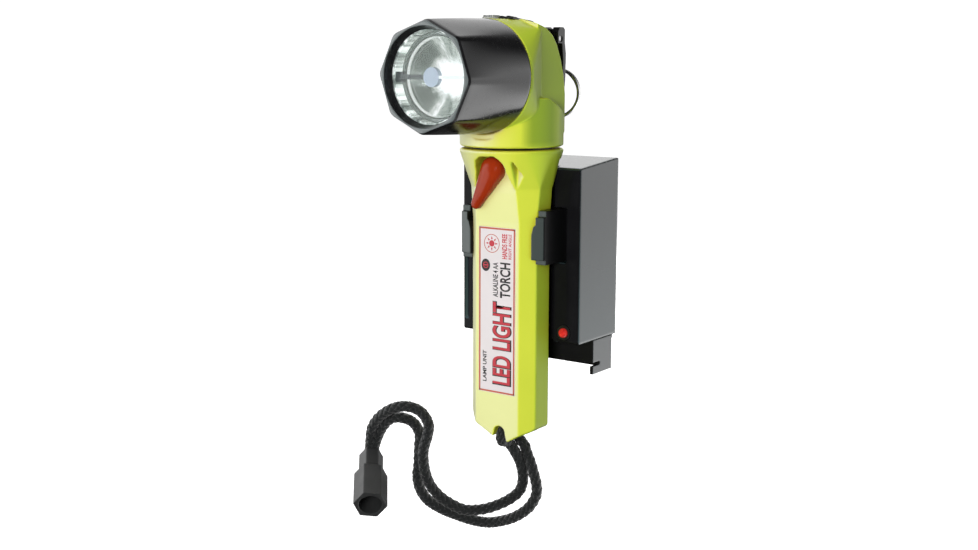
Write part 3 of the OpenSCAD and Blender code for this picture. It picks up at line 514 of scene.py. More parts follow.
def bowl():
    """metallised bowl with its emitter's light painted on as emission: white heart, soft lobes round it, bright edge
    lines
    """
    T = Tree("bowl_mirror")
    co = T.obj()
    b = T.n("ShaderNodeBsdfPrincipled")
    b.inputs["Metallic"].default_value = 0.5
    b.inputs["Base Color"].default_value = (0.07, 0.08, 0.08, 1)
    sep = T.n("ShaderNodeSeparateXYZ")
    T.l(co, sep.inputs[0])
    x = sep.outputs[0]
    z = T.math("SUBTRACT", sep.outputs[2], BZ * MM)
    r = T.math("SQRT", T.math("ADD", T.math("MULTIPLY", x, x), T.math("MULTIPLY", z, z)))
    rn = T.math("DIVIDE", r, 0.019)
    ang = T.math("MULTIPLY_ADD", T.math("ARCTAN2", z, x), 0.5 / math.pi, 0.5)
    vec = T.n("ShaderNodeCombineXYZ")
    T.l(x, vec.inputs[0]); T.l(z, vec.inputs[1])
    nz = T.noise(vec.outputs[0], 210, 5, 0.7)
    nz2 = T.noise(vec.outputs[0], 520, 4, 0.7)
    pv = T.n("ShaderNodeCombineXYZ")
    T.l(T.math("MULTIPLY", ang, 26.0), pv.inputs[0]); T.l(T.math("MULTIPLY", rn, 1.2), pv.inputs[1])
    ray = T.noise(pv.outputs[0], 1.0, 3, 0.6)
    wob = T.math("MULTIPLY_ADD", T.math("SUBTRACT", nz, 0.5), 0.055, ang)
    lobe = T.ramp(wob, [(0.0, 0.42), (0.035, 0.22), (0.09, 0.15), (0.17, 0.22), (0.205, 0.62), (0.225, 1.0), (0.245, 0.36), (0.30, 0.34), (0.36, 0.60), (0.43, 1.0), (0.57, 1.0), (0.64, 0.62), (0.70, 0.36), (0.738, 0.42), (0.752, 1.0), (0.768, 0.5), (0.81, 0.20), (0.90, 0.14), (0.965, 0.20), (1.0, 0.42)])
    lobe = T.math("MULTIPLY", lobe, T.math("MULTIPLY_ADD", nz2, 1.3, 0.32))
    lobe = T.math("MULTIPLY", lobe, T.ramp(ray, [(0.35, 0.75), (0.6, 1.25)]))
    core = T.ramp(T.math("MULTIPLY_ADD", T.math("SUBTRACT", nz, 0.5), 0.5, rn), [(0.30, 1.0), (0.44, 0.55), (0.62, 0.0)])
    # painted light: the white heart leans to the side the beam spills
    lean = T.math("SQRT", T.math("ADD", T.math("POWER", T.math("SUBTRACT", x, 0.0052), 2.0), T.math("POWER", T.math("ADD", z, 0.0012), 2.0)))
    heart = T.ramp(T.math("MULTIPLY_ADD", T.math("SUBTRACT", nz, 0.5), 0.4, T.math("DIVIDE", lean, 0.019)), [(0.32, 1.0), (0.62, 0.0)])
    glow = T.math("MAXIMUM", lobe, T.math("MULTIPLY", T.math("MAXIMUM", core, heart), 1.3))
    # painted shade: the bright edge lines are kept on the left and dimmed towards +x
    left = T.math("SUBTRACT", 1.0, T.math("MULTIPLY", T.ramp(T.math("MULTIPLY_ADD", x, 30.0, 0.5), [(0.35, 0.0), (0.75, 1.0)]), 0.75))
    edge = T.ramp(rn, [(0.84, 0.0), (0.862, 0.42), (0.875, 0.06), (0.90, 0.06), (0.925, 0.75), (0.955, 0.8), (0.972, 0.1), (1.0, 0.16), (1.03, 0.22), (1.1, 0.18)])
    em = T.math("MAXIMUM", T.math("MULTIPLY", glow, T.ramp(rn, [(0.93, 1.0), (0.965, 0.18)])), T.math("MULTIPLY", edge, left))
    tint = T.ramp(em, [(0.12, (0.62, 0.78, 0.66)), (0.5, (0.90, 1.0, 0.94)), (0.9, (0.97, 1.0, 1.0))])
    T.l(tint, b.inputs["Emission Color"])
    T.l(T.math("MULTIPLY", em, 0.84), b.inputs["Emission Strength"])
    T.l(T.math("MULTIPLY_ADD", nz, 0.2, 0.12), b.inputs["Roughness"])
    bp = T.n("ShaderNodeBump")
    bp.inputs["Strength"].default_value = 0.3
    bp.inputs["Distance"].default_value = 0.0005
    T.l(nz, bp.inputs["Height"])
    T.l(bp.outputs[0], b.inputs["Normal"])
    T.l(b.outputs[0], T.out.inputs[0])
    return T.m


M["bowl"] = bowl()


def emitter():
    T = Tree("led_phosphor")
    co = T.obj()
    e = T.n("ShaderNodeEmission")
    T.l(T.ramp(T.noise(co, 2000, 2), [(0.3, (1, 0.95, 0.7)), (0.7, (1, 1, 0.95))]), e.inputs[0])
    e.inputs[1].default_value = 6
    T.l(e.outputs[0], T.out.inputs[0])
    return T.m


M["led"] = emitter()


def indicator():
    T = Tree("indicator_red")
    co = T.obj()
    b = T.n("ShaderNodeBsdfPrincipled")
    T.l(T.ramp(T.noise(co, 900, 3), [(0.3, (0.55, 0.015, 0.012)), (0.7, (0.8, 0.04, 0.03))]), b.inputs["Base Color"])
    b.inputs["Roughness"].default_value = 0.12
    b.inputs["Emission Color"].default_value = (1, 0.07, 0.05, 1)
    T.l(T.ramp(T.noise(co, 500, 2), [(0.35, 0.04), (0.65, 0.22)]), b.inputs["Emission Strength"])
    T.l(b.outputs[0], T.out.inputs[0])
    return T.m


M["indicator"] = indicator()


def braid():
    T = Tree("cord_yarn")
    co = T.obj()
    b = T.n("ShaderNodeBsdfPrincipled")
    nz = T.noise(co, 1800, 4, 0.65)
    # painted shade: the yarn colour is darkened in the grooves between yarns, read from an ambient occlusion node
    ao = T.n("ShaderNodeAmbientOcclusion", samples=6)
    ao.inputs["Distance"].default_value = 0.0012
    mx = T.n("ShaderNodeMix", data_type="RGBA", blend_type="MULTIPLY")
    mx.inputs[0].default_value = 1.0
    T.l(T.ramp(nz, [(0.3, (0.006, 0.0065, 0.0065)), (0.7, (0.024, 0.026, 0.026))]), mx.inputs[6])
    T.l(T.ramp(ao.outputs["AO"], [(0.35, 0.15), (0.85, 1.15)]), mx.inputs[7])
    T.l(mx.outputs[2], b.inputs["Base Color"])
    b.inputs["Roughness"].default_value = 0.42
    b.inputs["Sheen Weight"].default_value = 0.2
    b.inputs["Specular IOR Level"].default_value = 0.5
    bp = T.n("ShaderNodeBump")
    bp.inputs["Strength"].default_value = 0.5
    bp.inputs["Distance"].default_value = 0.0001
    T.l(nz, bp.inputs["Height"])
    T.l(bp.outputs[0], b.inputs["Normal"])
    T.l(b.outputs[0], T.out.inputs[0])
    return T.m


M["cord"] = braid()


def print_(name, col, rough=0.3):
    return plastic(name, col, [c * 0.93 for c in col], rough=rough, bump=0.03, bscale=1500, round_=0)


M["vent"] = plastic("vent_grey", (0.50, 0.51, 0.50), rough=0.45, bump=0.05, bscale=1400)

M["film"] = print_("label_film", (0.80, 0.75, 0.75))
M["ink_red"] = print_("ink_red", (0.55, 0.035, 0.05))
M["ink_line"] = print_("ink_border", (0.52, 0.10, 0.05))
M["ink_black"] = print_("ink_black", (0.015, 0.012, 0.012))
M["ink_pink"] = print_("ink_pink", (0.72, 0.30, 0.30))

USE = {
    "lime": ["handle_body", "head_housing"],
    "gloss": ["belt_clip", "clip_bracket"],
    "shroud": ["shroud"],
    "box": ["charger_housing"],
    "arm": ["arm_left", "arm_right"],
    "toggle": ["lanyard_toggle"],
    "satin": ["charger_cover", "led_bezel", "neck_coupling_ring", "battery_cassette", "pin_block", "power_jack"],
    "vent": ["vent_plug"],
    "bracket": ["mounting_bracket"],
    "rubber": ["switch_seal", "neck_seal", "shroud_seal", "lens_seal"],
    "lever": ["switch_lever"],
    "steel": ["switch_shaft", "lanyard_pin", "clip_pin", "arm_pins", "cover_screws", "bracket_fixing_screws", "clip_screws"],
    "ring": ["split_ring"],
    "chrome": ["switch_detent_spring", "cell_springs", "clip_spring", "arm_springs", "pin_springs", "led_leads"],
    "alloy": ["lamp_body"],
    "bridge": ["led_bridge"],
    "brass": ["cell_plates", "contact_strips", "charge_contacts", "charge_pins", "switch_contacts"],
    "cell": ["cells"],
    "parts": ["board_components", "switch_rotor"],
    "lead": ["lamp_leads"],
    "pcb": ["head_contacts", "driver_board", "charger_board"],
    "lens": ["lens"],
    "bowl": ["reflector"],
    "led": ["led_emitter"],
    "indicator": ["indicator_led"],
    "cord": ["lanyard_cord"],
    "film": ["label"],
}
for key, names in USE.items():
    for n in names:
        o = N[n]
        o.data.materials.clear()
        o.data.materials.append(M[key])

# ---------------------------------------------------------------- mesh helpers


def mesh(name, verts, faces, mat, smooth=True, body=None, replaces=()):
    me = bpy.data.meshes.new(name)
    me.from_pydata([tuple(v) for v in verts], [], faces)
    me.validate()
    if smooth:
        me.polygons.foreach_set("use_smooth", [True] * len(me.polygons))
    me.materials.append(mat)
    me.update()
    o = bpy.data.objects.new(name, me)
    scene.collection.objects.link(o)
    if body:
        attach(o, body)
    if replaces:
        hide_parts(*replaces)
    return o


def catmull(pts, step):
    """even points along a smooth curve through pts"""
    P = [Vector(p) for p in pts]
    P = [P[0] * 2 - P[1]] + P + [P[-1] * 2 - P[-2]]
    out = []
    for i in range(1, len(P) - 2):
        for k in range(24):
            t = k / 24
            a, b, c, d = P[i - 1], P[i], P[i + 1], P[i + 2]
            out.append(0.5 * ((2 * b) + (c - a) * t + (2 * a - 5 * b + 4 * c - d) * t * t + (3 * b - a - 3 * c + d) * t ** 3))
    out.append(P[-2])
    res, acc, last = [out[0]], 0.0, out[0]
    for p in out[1:]:
        seg = (p - last).length
        while acc + seg >= step and seg > 1e-12:
            t = (step - acc) / seg
            last = last.lerp(p, t)
            res.append(last.copy())
            seg = (p - last).length
            acc = 0.0
        acc += seg
        last = p
    return res


def frames(P):
    """rotation minimising frames along the points"""
    T = []
    for i in range(len(P)):
        a = P[max(i - 1, 0)]
        b = P[min(i + 1, len(P) - 1)]
        T.append((b - a).normalized())
    n = T[0].orthogonal().normalized()
    out = []
    for i, t in enumerate(T):
        n = (n - t * n.dot(t)).normalized()
        out.append((t, n.copy(), t.cross(n)))
    return out


def tube(P, ra, rb=None, sides=8, V=None, F=None, closed=False, frame_=None, cap=True):
    """tube along points; ra, rb half sizes along the frame's two directions"""
    rb = rb or ra
    V = [] if V is None else V
    F = [] if F is None else F
    base = len(V)
    fr = frame_ or frames(P)
    for p, (t, n, b) in zip(P, fr):
        for k in range(sides):
            a = 2 * math.pi * k / sides
            V.append(p + n * (ra * math.cos(a)) + b * (rb * math.sin(a)))
    m = len(P)
    for i in range(m - 1 if not closed else m):
        j = (i + 1) % m
        for k in range(sides):
            q = (k + 1) % sides
            F.append((base + i * sides + k, base + i * sides + q, base + j * sides + q, base + j * sides + k))
    if cap and not closed:
        F.append(tuple(base + k for k in range(sides))[::-1])
        F.append(tuple(base + (m - 1) * sides + k for k in range(sides)))
    return V, F


# ---------------------------------------------------------------- softened CAD pieces


def soften(node, voxel, smooth=4, factor=0.5):
    """rounds the edges of a CAD piece with modifiers, leaving its own mesh alone"""
    o = N[node]
    m = o.modifiers.new("skin", "REMESH")
    m.mode = "VOXEL"
    m.voxel_size = voxel
    m.use_smooth_shade = True
    s = o.modifiers.new("relax", "SMOOTH")
    s.factor = factor
    s.iterations = smooth


soften("handle_body", 0.00038, 6)
soften("head_housing", 0.00038, 8)
soften("charger_housing", 0.00045, 6)
soften("mounting_bracket", 0.00036, 2)
for n in ("arm_left", "arm_right", "lanyard_toggle", "belt_clip", "clip_bracket"):
    soften(n, 0.00022, 4)


# ---------------------------------------------------------------- shroud


def shroud():
    """octagon with softly rounded corners at the front, blending to round at the back"""
    Rv, Rc = 26.1, 27.0
    y0, y1 = -23.2 - 46.6, -23.2
    roll = math.radians(3.4)
    NT = 384
    apo = Rv * math.cos(math.pi / 8)

    def octr(a):
        # distance to the octagon edge, vertices at 0, 45, ... degrees from vertical, rounded corners
        k = math.pi / 4
        d = (a - roll) % k
        d = min(d, k - d)
        r = apo / math.cos(k / 2 - d)
        return r - 0.35 * math.exp(-(d / 0.035) ** 2)

    rows = []
    # outside, from the rear face to the front
    for s in np.linspace(0, 1, 40):
        y = y1 + (y0 - y1) * s
        w = max(0.0, (s - 0.02) / 0.98) ** 1.6
        rows.append((y, w, 0.0, None))
    V, F = [], []

    def ring(fn, y):
        b = len(V)
        for k in range(NT):
            a = 2 * math.pi * k / NT
            r = fn(a)
            V.append((MM * r * math.sin(a), MM * (HY + y), MM * (BZ + r * math.cos(a))))
        return b

    rings = []
    rings.append(ring(lambda a: 24.3, y1 + 0.02))
    rings.append(ring(lambda a: Rc - 0.35, y1 + 0.02))
    rings.append(ring(lambda a: Rc - 0.08, y1 - 0.1))
    for y, w, _, _ in rows[1:-1]:
        rings.append(ring(lambda a: Rc * (1 - w) + octr(a) * w, min(y, y1) if y > y0 + 1.9 else y0 + 1.9))
    # small round, dark bevel, then the narrow flat rim and the step into the mouth
    for t in range(5):
        g = math.radians(11 * t)
        rings.append(ring(lambda a: octr(a) - 0.35 * (1 - math.cos(g)), y0 + 1.55 - 0.35 * math.sin(g)))
    rings.append(ring(lambda a: octr(a) - 0.62, y0 + 0.3))
    rings.append(ring(lambda a: octr(a) - 0.74, y0 + 0.08))
    rings.append(ring(lambda a: octr(a) - 0.86, y0))
    rings.append(ring(lambda a: min(octr(a) - 1.15, 23.05), y0))
    rings.append(ring(lambda a: min(octr(a) - 1.4, 22.75), y0 + 0.06))
    rings.append(ring(lambda a: min(octr(a) - 1.42, 22.68), y0 + 0.25))
    for t in np.linspace(0, 1, 7):
        rings.append(ring(lambda a: 22.6 - 1.3 * t, y0 + 0.4 + 3.8 * t))
    rings.append(ring(lambda a: 21.25, y0 + 4.25))
    rings.append(ring(lambda a: 22.9, y0 + 4.3))
    rings.append(ring(lambda a: 22.9, -30))
    rings.append(ring(lambda a: 24.3, -30))
    for i in range(len(rings)):
        a, b = rings[i], rings[(i + 1) % len(rings)]
        for k in range(NT):
            q = (k + 1) % NT
            F.append((a + k, b + k, b + q, a + q))
    o = mesh("shroud_skin", V, F, M["shroud"], True, "shroud", ["shroud"])
    return o


shroud()

# ---------------------------------------------------------------- lever


def lever():
    """domed teardrop: every outline point runs in to the spine it belongs to"""
    R1, R2, L, ang = 6.2, 2.6, 20.2, math.radians(31)
    y0, H1, H2 = -14.0, 6.0, 3.1
    sb = (R1 - R2) / L
    al = math.asin(sb)                      # tilt of the straight flanks
    outline = []
    n1, n2, n3 = 56, 26, 20
    for k in range(n1 + 1):                 # hub arc, flank to flank over the top
        a = -al + (math.pi + 2 * al) * k / n1
        outline.append(((0, 0), (R1 * math.cos(a), R1 * math.sin(a))))
    for k in range(1, n2):                  # left flank
        t = k / n2
        c = (0, -L * t)
        r = R1 + (R2 - R1) * t
        outline.append((c, (c[0] - r * math.cos(al), c[1] - r * math.sin(al))))
    for k in range(n3 + 1):                 # tip arc
        a = math.pi + al + (math.pi - 2 * al) * k / n3
        outline.append(((0, -L), (R2 * math.cos(a), -L + R2 * math.sin(a))))
    for k in range(1, n2):                  # right flank
        t = 1 - k / n2
        c = (0, -L * t)
        r = R1 + (R2 - R1) * t
        outline.append((c, (c[0] + r * math.cos(al), c[1] - r * math.sin(al))))
    prof = [(1.0, 0.0), (1.0, 0.22), (0.995, 0.40)]
    for k in range(1, 15):
        g = math.pi / 2 * k / 14
        prof.append((math.cos(g) ** 0.86, 0.40 + 0.60 * math.sin(g) ** 0.90))
    V, F = [], []
    n = len(outline)
    ca, sa = math.cos(ang), math.sin(ang)
    for rho, h in prof:
        for (cx, cz), (px, pz) in outline:
            x, z = cx + (px - cx) * rho, cz + (pz - cz) * rho
            t = -cz / L
            # a slight saddle between the hub and the arm
            H = H1 + (H2 - H1) * (t * t * (3 - 2 * t)) ** 0.8
            xr, zr = x * ca + z * sa, -x * sa + z * ca
            V.append((xr * MM, (HY + y0 - H * h) * MM, (42.9 + zr) * MM))
    for i in range(len(prof) - 1):
        for k in range(n):
            q = (k + 1) % n
            F.append((i * n + k, i * n + q, (i + 1) * n + q, (i + 1) * n + k))
    F.append(tuple(range(n - 1, -1, -1)))
    mesh("switch_lever_skin", V, F, M["lever"], True, "lever", ["switch_lever"])


lever()

# ---------------------------------------------------------------- split ring


def split_ring():
    R, w = 0.012, 0.0009
    turns = 2.0
    c = Vector((0.004, (HY + 33.6) * MM, (90.7 - 12) * MM))
    u = Vector((math.cos(math.radians(15)), math.sin(math.radians(15)), 0))
    n = Vector((-u.y, u.x, 0))
    P = []
    S = 240
    for i in range(S + 1):
        t = i / S
        a = 2 * math.pi * turns * t + 1.2
        # the two coils lie side by side and cross over a short way
        f = 2 * t
        k = (min(1, max(0, (f - 0.9) / 0.2)))
        off = (k * k * (3 - 2 * k)) * 2 - 1
        P.append(c + (u * math.cos(a) + Vector((0, 0, 1)) * math.sin(a)) * R + n * (off * w))
    V, F = tube(P, w, w, 14)
    mesh("split_ring_coil", V, F, M["ring"], True, "ring", ["split_ring"])


split_ring()

# ---------------------------------------------------------------- springs of the charge pins


def pin_springs():
    V, F = [], []
    for s in (-1, 1):
        P = []
        n = 150
        for i in range(n + 1):
            t = i / n
            # closed end turns, open in the middle
            f = t * 6.0
            y = -25.74 + 4.48 * min(1, max(0, (f - 0.7) / 4.6))
            a = 2 * math.pi * f
            P.append(Vector(((s * 8 + 1.6 * math.cos(a)) * MM, y * MM, (-25 + 1.6 * math.sin(a)) * MM)))
        tube(P, 0.00024, 0.00024, 8, V, F)
    o = mesh("pin_spring_coils", V, F, M["chrome"], True, "charger", ["pin_springs"])
    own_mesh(o)


pin_springs()

# ---------------------------------------------------------------- lanyard


def PL(u, w, t):
    return Vector(((-0.814 * u + 0.5815 * t) * MM, (HY - 0.5815 * u - 0.8135 * t) * MM, w * MM))


CA = [(0.5, -97.4, 0.4), (-2.4, -101.4, 1.4), (-5.6, -108, 2), (-6.8, -116, 2), (-5, -122.4, 2.4), (0.6, -127, 3), (8, -130.4, 3.2), (15, -132.2, 3.2), (22.4, -132.4, 3.2), (28.6, -130, 3.2), (35.4, -125.4, 3.2), (40.4, -119.4, 3.2), (43, -112.6, 3.2), (44, -106, 3.2), (43.8, -100, 3.2), (41.8, -92.8, 3.2), (41.4, -86.8, 3), (45.4, -80.8, 2), (52.4, -78.4, 1), (59.6, -80, -1), (66.6, -85.4, -5), (70.8, -92.2, -8), (71.9, -99.5, -9.5), (72.2, -104.6, -8), (72, -107.4, -4.5)]
CB = [(-7.4, -98.8, -0.4), (-8.8, -102.8, 1.2), (-10.6, -107.2, 3), (-12.2, -112.6, 4.4), (-13.6, -118.4, 5.2), (-13.4, -124, 5.2), (-9.6, -130.8, 4.4), (-3, -136.2, 2.4), (4.2, -139.8, -1), (11.4, -141.2, -2.6), (19.2, -140, -3), (28, -137, -3), (35.4, -133.8, -3), (42, -129.4, -3), (46, -123.4, -3), (47.4, -116.6, -3), (46.8, -110.6, -3.2), (46.4, -101, -3.6), (46.2, -94, -3.6), (49.4, -88.2, -3.6), (55, -85.8, -4), (60.8, -86.6, -5.6), (65.4, -91.6, -8), (68.6, -98.4, -9.5), (70.4, -104.6, -8), (70.8, -107.4, -4.5)]
CL = [(-4.6, -95.2), (-8.6, -94.4), (-10, -91.8), (-8.4, -89.2), (-5.4, -87.4), (-2.64, -86.4), (-0.4, -85.8), (1.94, -86.23), (3.9, -87.7), (4.9, -91), (5, -95.2)]


def braided(path, V, F, R=0.00205, turns_per=0.0150, carriers=4):
    step = 0.0006
    P = catmull(path, step)
    fr = frames(P)
    # dark core under the yarns
    tube(P, R * 0.9, R * 0.9, 12, V, F, frame_=fr)
    for d in (1, -1):
        for c in range(carriers):
            pts = []
            for i, (p, (t, n, b)) in enumerate(zip(P, fr)):
                s = i * step
                a = d * (2 * math.pi * s / turns_per) + 2 * math.pi * c / carriers
                # over one, under one
                ph = 2 * math.pi * s / turns_per * carriers + (0 if d > 0 else math.pi)
                r = R + 0.00036 * math.cos(ph)
                pts.append(p + (n * math.cos(a) + b * math.sin(a)) * r)
            # yarn frame: flat against the core
            ff = []
            for i in range(len(pts)):
                q = pts[min(i + 1, len(pts) - 1)] - pts[max(i - 1, 0)]
                q.normalize()
                out = pts[i] - P[i]
                out = (out - q * out.dot(q)).normalized()
                ff.append((q, out, q.cross(out)))
            tube(pts, 0.00052, 0.00122, 10, V, F, frame_=ff)
    return P


def lanyard():
    V, F = [], []
    path = [PL(*p) for p in reversed(CA)] + [Vector((0.0015, (HY + p[0]) * MM, p[1] * MM)) for p in CL] + [PL(*p) for p in CB]
    braided(path, V, F)
    mesh("lanyard_cord_braid", V, F, M["cord"], True, "lanyard", ["lanyard_cord"])


lanyard()

# ---------------------------------------------------------------- label print


def flat(name, polys, y, mat, body="handle", thick=0.00004):
    """thin raised print: each polygon is x, z points in millimetres from the label centre"""
    V, F = [], []
    for poly in polys:
        b = len(V)
        n = len(poly)
        for yy in (y - thick, y):
            for px, pz in poly:
                V.append((px * MM, yy, (LZ + pz) * MM))
        F.append(tuple(range(b, b + n)))
        for k in range(n):
            q = (k + 1) % n
            F.append((b + k, b + n + k, b + n + q, b + q))
    return mesh(name, V, F, mat, False, body)


LZ = -27.4
FACE = (HY - 12.05) * MM


def rect(x0, z0, x1, z1, sk=0.0):
    return [(x0, z0), (x1, z0 + sk), (x1, z1 + sk), (x0, z1)]


def ringpoly(cx, cz, r0, r1, n=40):
    out = []
    for k in range(n):
        a, b = 2 * math.pi * k / n, 2 * math.pi * (k + 1) / n
        out.append([(cx + r0 * math.cos(a), cz + r0 * math.sin(a)), (cx + r1 * math.cos(a), cz + r1 * math.sin(a)), (cx + r1 * math.cos(b), cz + r1 * math.sin(b)), (cx + r0 * math.cos(b), cz + r0 * math.sin(b))])
    return out


def words(name, text, x, z, height, mat, y, width=None, bold=0.0):
    """generic wording set upwards along the label; x is the baseline, z where it starts"""
    cu = bpy.data.curves.new(name, "FONT")
    cu.body = text
    cu.size = 1.0
    cu.offset = bold
    cu.extrude = 0.0
    o = bpy.data.objects.new(name, cu)
    scene.collection.objects.link(o)
    bpy.context.view_layer.update()
    dg = bpy.context.evaluated_depsgraph_get()
    me = bpy.data.meshes.new_from_object(o.evaluated_get(dg))
    bpy.data.objects.remove(o)
    co = np.array([v.co for v in me.vertices]).reshape(-1, 3)
    h = co[:, 1].max()
    sy = height / h
    sx = (width / co[:, 0].max()) if width else sy
    for v in me.vertices:
        cx, cy = v.co.x * sx, v.co.y * sy
        v.co = Vector(((x - cy) * MM, y, (LZ + z + cx) * MM))
    me.materials.clear()
    me.materials.append(mat)
    o = bpy.data.objects.new(name, me)
    scene.collection.objects.link(o)
    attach(o, "handle")
    return o


def label():
    w, h = 11.0, 41.75
    y1 = FACE - 0.00001
    b = 0.85
    flat("label_border", [rect(-w + 0.25, -h + 0.25, w - 0.25, -h + 0.25 + b), rect(-w + 0.25, h - 0.25 - b, w - 0.25, h - 0.25), rect(-w + 0.25, -h + 0.25, -w + 0.25 + b, h - 0.25), rect(w - 0.25 - b, -h + 0.25, w - 0.25, h - 0.25)], y1, M["ink_line"])
    # big red wording with a dark edge, black wording beside it, small red wording above
    words("label_word_edge", "LED LIGHT", 8.25, -37.6, 10.9, M["ink_black"], y1 - 0.00003, 42.6, 0.045)
    words("label_word", "LED LIGHT", 7.8, -37.2, 10.2, M["ink_red"], y1 - 0.00006, 41.8, 0.018)
    words("label_word_b", "TORCH", 7.8, 7.0, 5.9, M["ink_black"], y1 - 0.00003, 17.6, 0.03)
    words("label_word_c", "ALKALINE 4 AA", 0.6, 7.2, 3.0, M["ink_black"], y1 - 0.00003, 17.2, 0.025)
    words("label_word_d", "LAMP UNIT", -6.2, -36.6, 2.2, M["ink_black"], y1 - 0.00003, 16.0, 0.03)
    words("label_word_e", "HANDS FREE", 6.0, 26.4, 3.0, M["ink_red"], y1 - 0.00003, 12.4, 0.03)
    words("label_word_f", "RIGHT ANGLE", 8.6, 26.4, 1.7, M["ink_red"], y1 - 0.00003, 12.4, 0.02)
    # round mark: plain beam symbol
    flat("label_mark", ringpoly(-3.1, 33.6, 4.3, 4.65), y1 - 0.00003, M["ink_line"])
    rays = []
    for k in range(8):
        a = 2 * math.pi * k / 8
        c, s = math.cos(a), math.sin(a)
        rays.append([(-3.1 + 2.1 * c - 0.5 * s, 33.6 + 2.1 * s + 0.5 * c), (-3.1 + 3.7 * c, 33.6 + 3.7 * s), (-3.1 + 2.1 * c + 0.5 * s, 33.6 + 2.1 * s - 0.5 * c)])
    rays.append([(-3.1 + 1.6 * math.cos(2 * math.pi * k / 20), 33.6 + 1.6 * math.sin(2 * math.pi * k / 20)) for k in range(20)])
    flat("label_rays", rays, y1 - 0.00003, M["ink_red"])
    flat("label_spot", [[(-6.7 + 2.6 * math.cos(2 * math.pi * k / 28), 22.6 + 3.1 * math.sin(2 * math.pi * k / 28)) for k in range(28)]], y1 - 0.00003, M["ink_black"])
    flat("label_spot_in", ringpoly(-6.7, 22.6, 1.2, 1.6, 28) + [rect(-7.9, 22.3, -5.5, 22.9)], y1 - 0.00007, M["ink_red"])


label()

# ---------------------------------------------------------------- stage


def stage():
    # sweep of pale card
    V, F = [], []
    prof = []
    for t in np.linspace(0, 1, 30):
        prof.append((-1.6 + 2.8 * t, -0.165))
    for t in np.linspace(0, math.pi / 2, 24)[1:]:
        prof.append((1.2 + 1.0 * math.sin(t), -0.165 + 1.0 * (1 - math.cos(t))))
    prof.append((2.2, 3.2))
    for x in (-3.5, 3.5):
        for y, z in prof:
            V.append((x, y, z))
    n = len(prof)
    for i in range(n - 1):
        F.append((i, n + i, n + i + 1, i + 1))
    T = Tree("pale_floor")
    co = T.obj()
    d = T.n("ShaderNodeBsdfDiffuse")
    T.l(T.ramp(T.noise(co, 3, 2), [(0.3, 0.86), (0.7, 0.9)]), d.inputs[0])
    e = T.n("ShaderNodeEmission")
    e.inputs[0].default_value = (1, 1, 1, 1)
    e.inputs[1].default_value = 0.95
    add = T.n("ShaderNodeAddShader")
    T.l(d.outputs[0], add.inputs[0]); T.l(e.outputs[0], add.inputs[1])
    tr = T.n("ShaderNodeBsdfTransparent")
    lp = T.n("ShaderNodeLightPath")
    mx = T.n("ShaderNodeMixShader")
    T.l(lp.outputs["Is Camera Ray"], mx.inputs[0])
    T.l(tr.outputs[0], mx.inputs[1]); T.l(add.outputs[0], mx.inputs[2])
    T.l(mx.outputs[0], T.out.inputs[0])
    o = mesh("sweep", V, F, T.m, True)
    o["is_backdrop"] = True
    return o


stage()


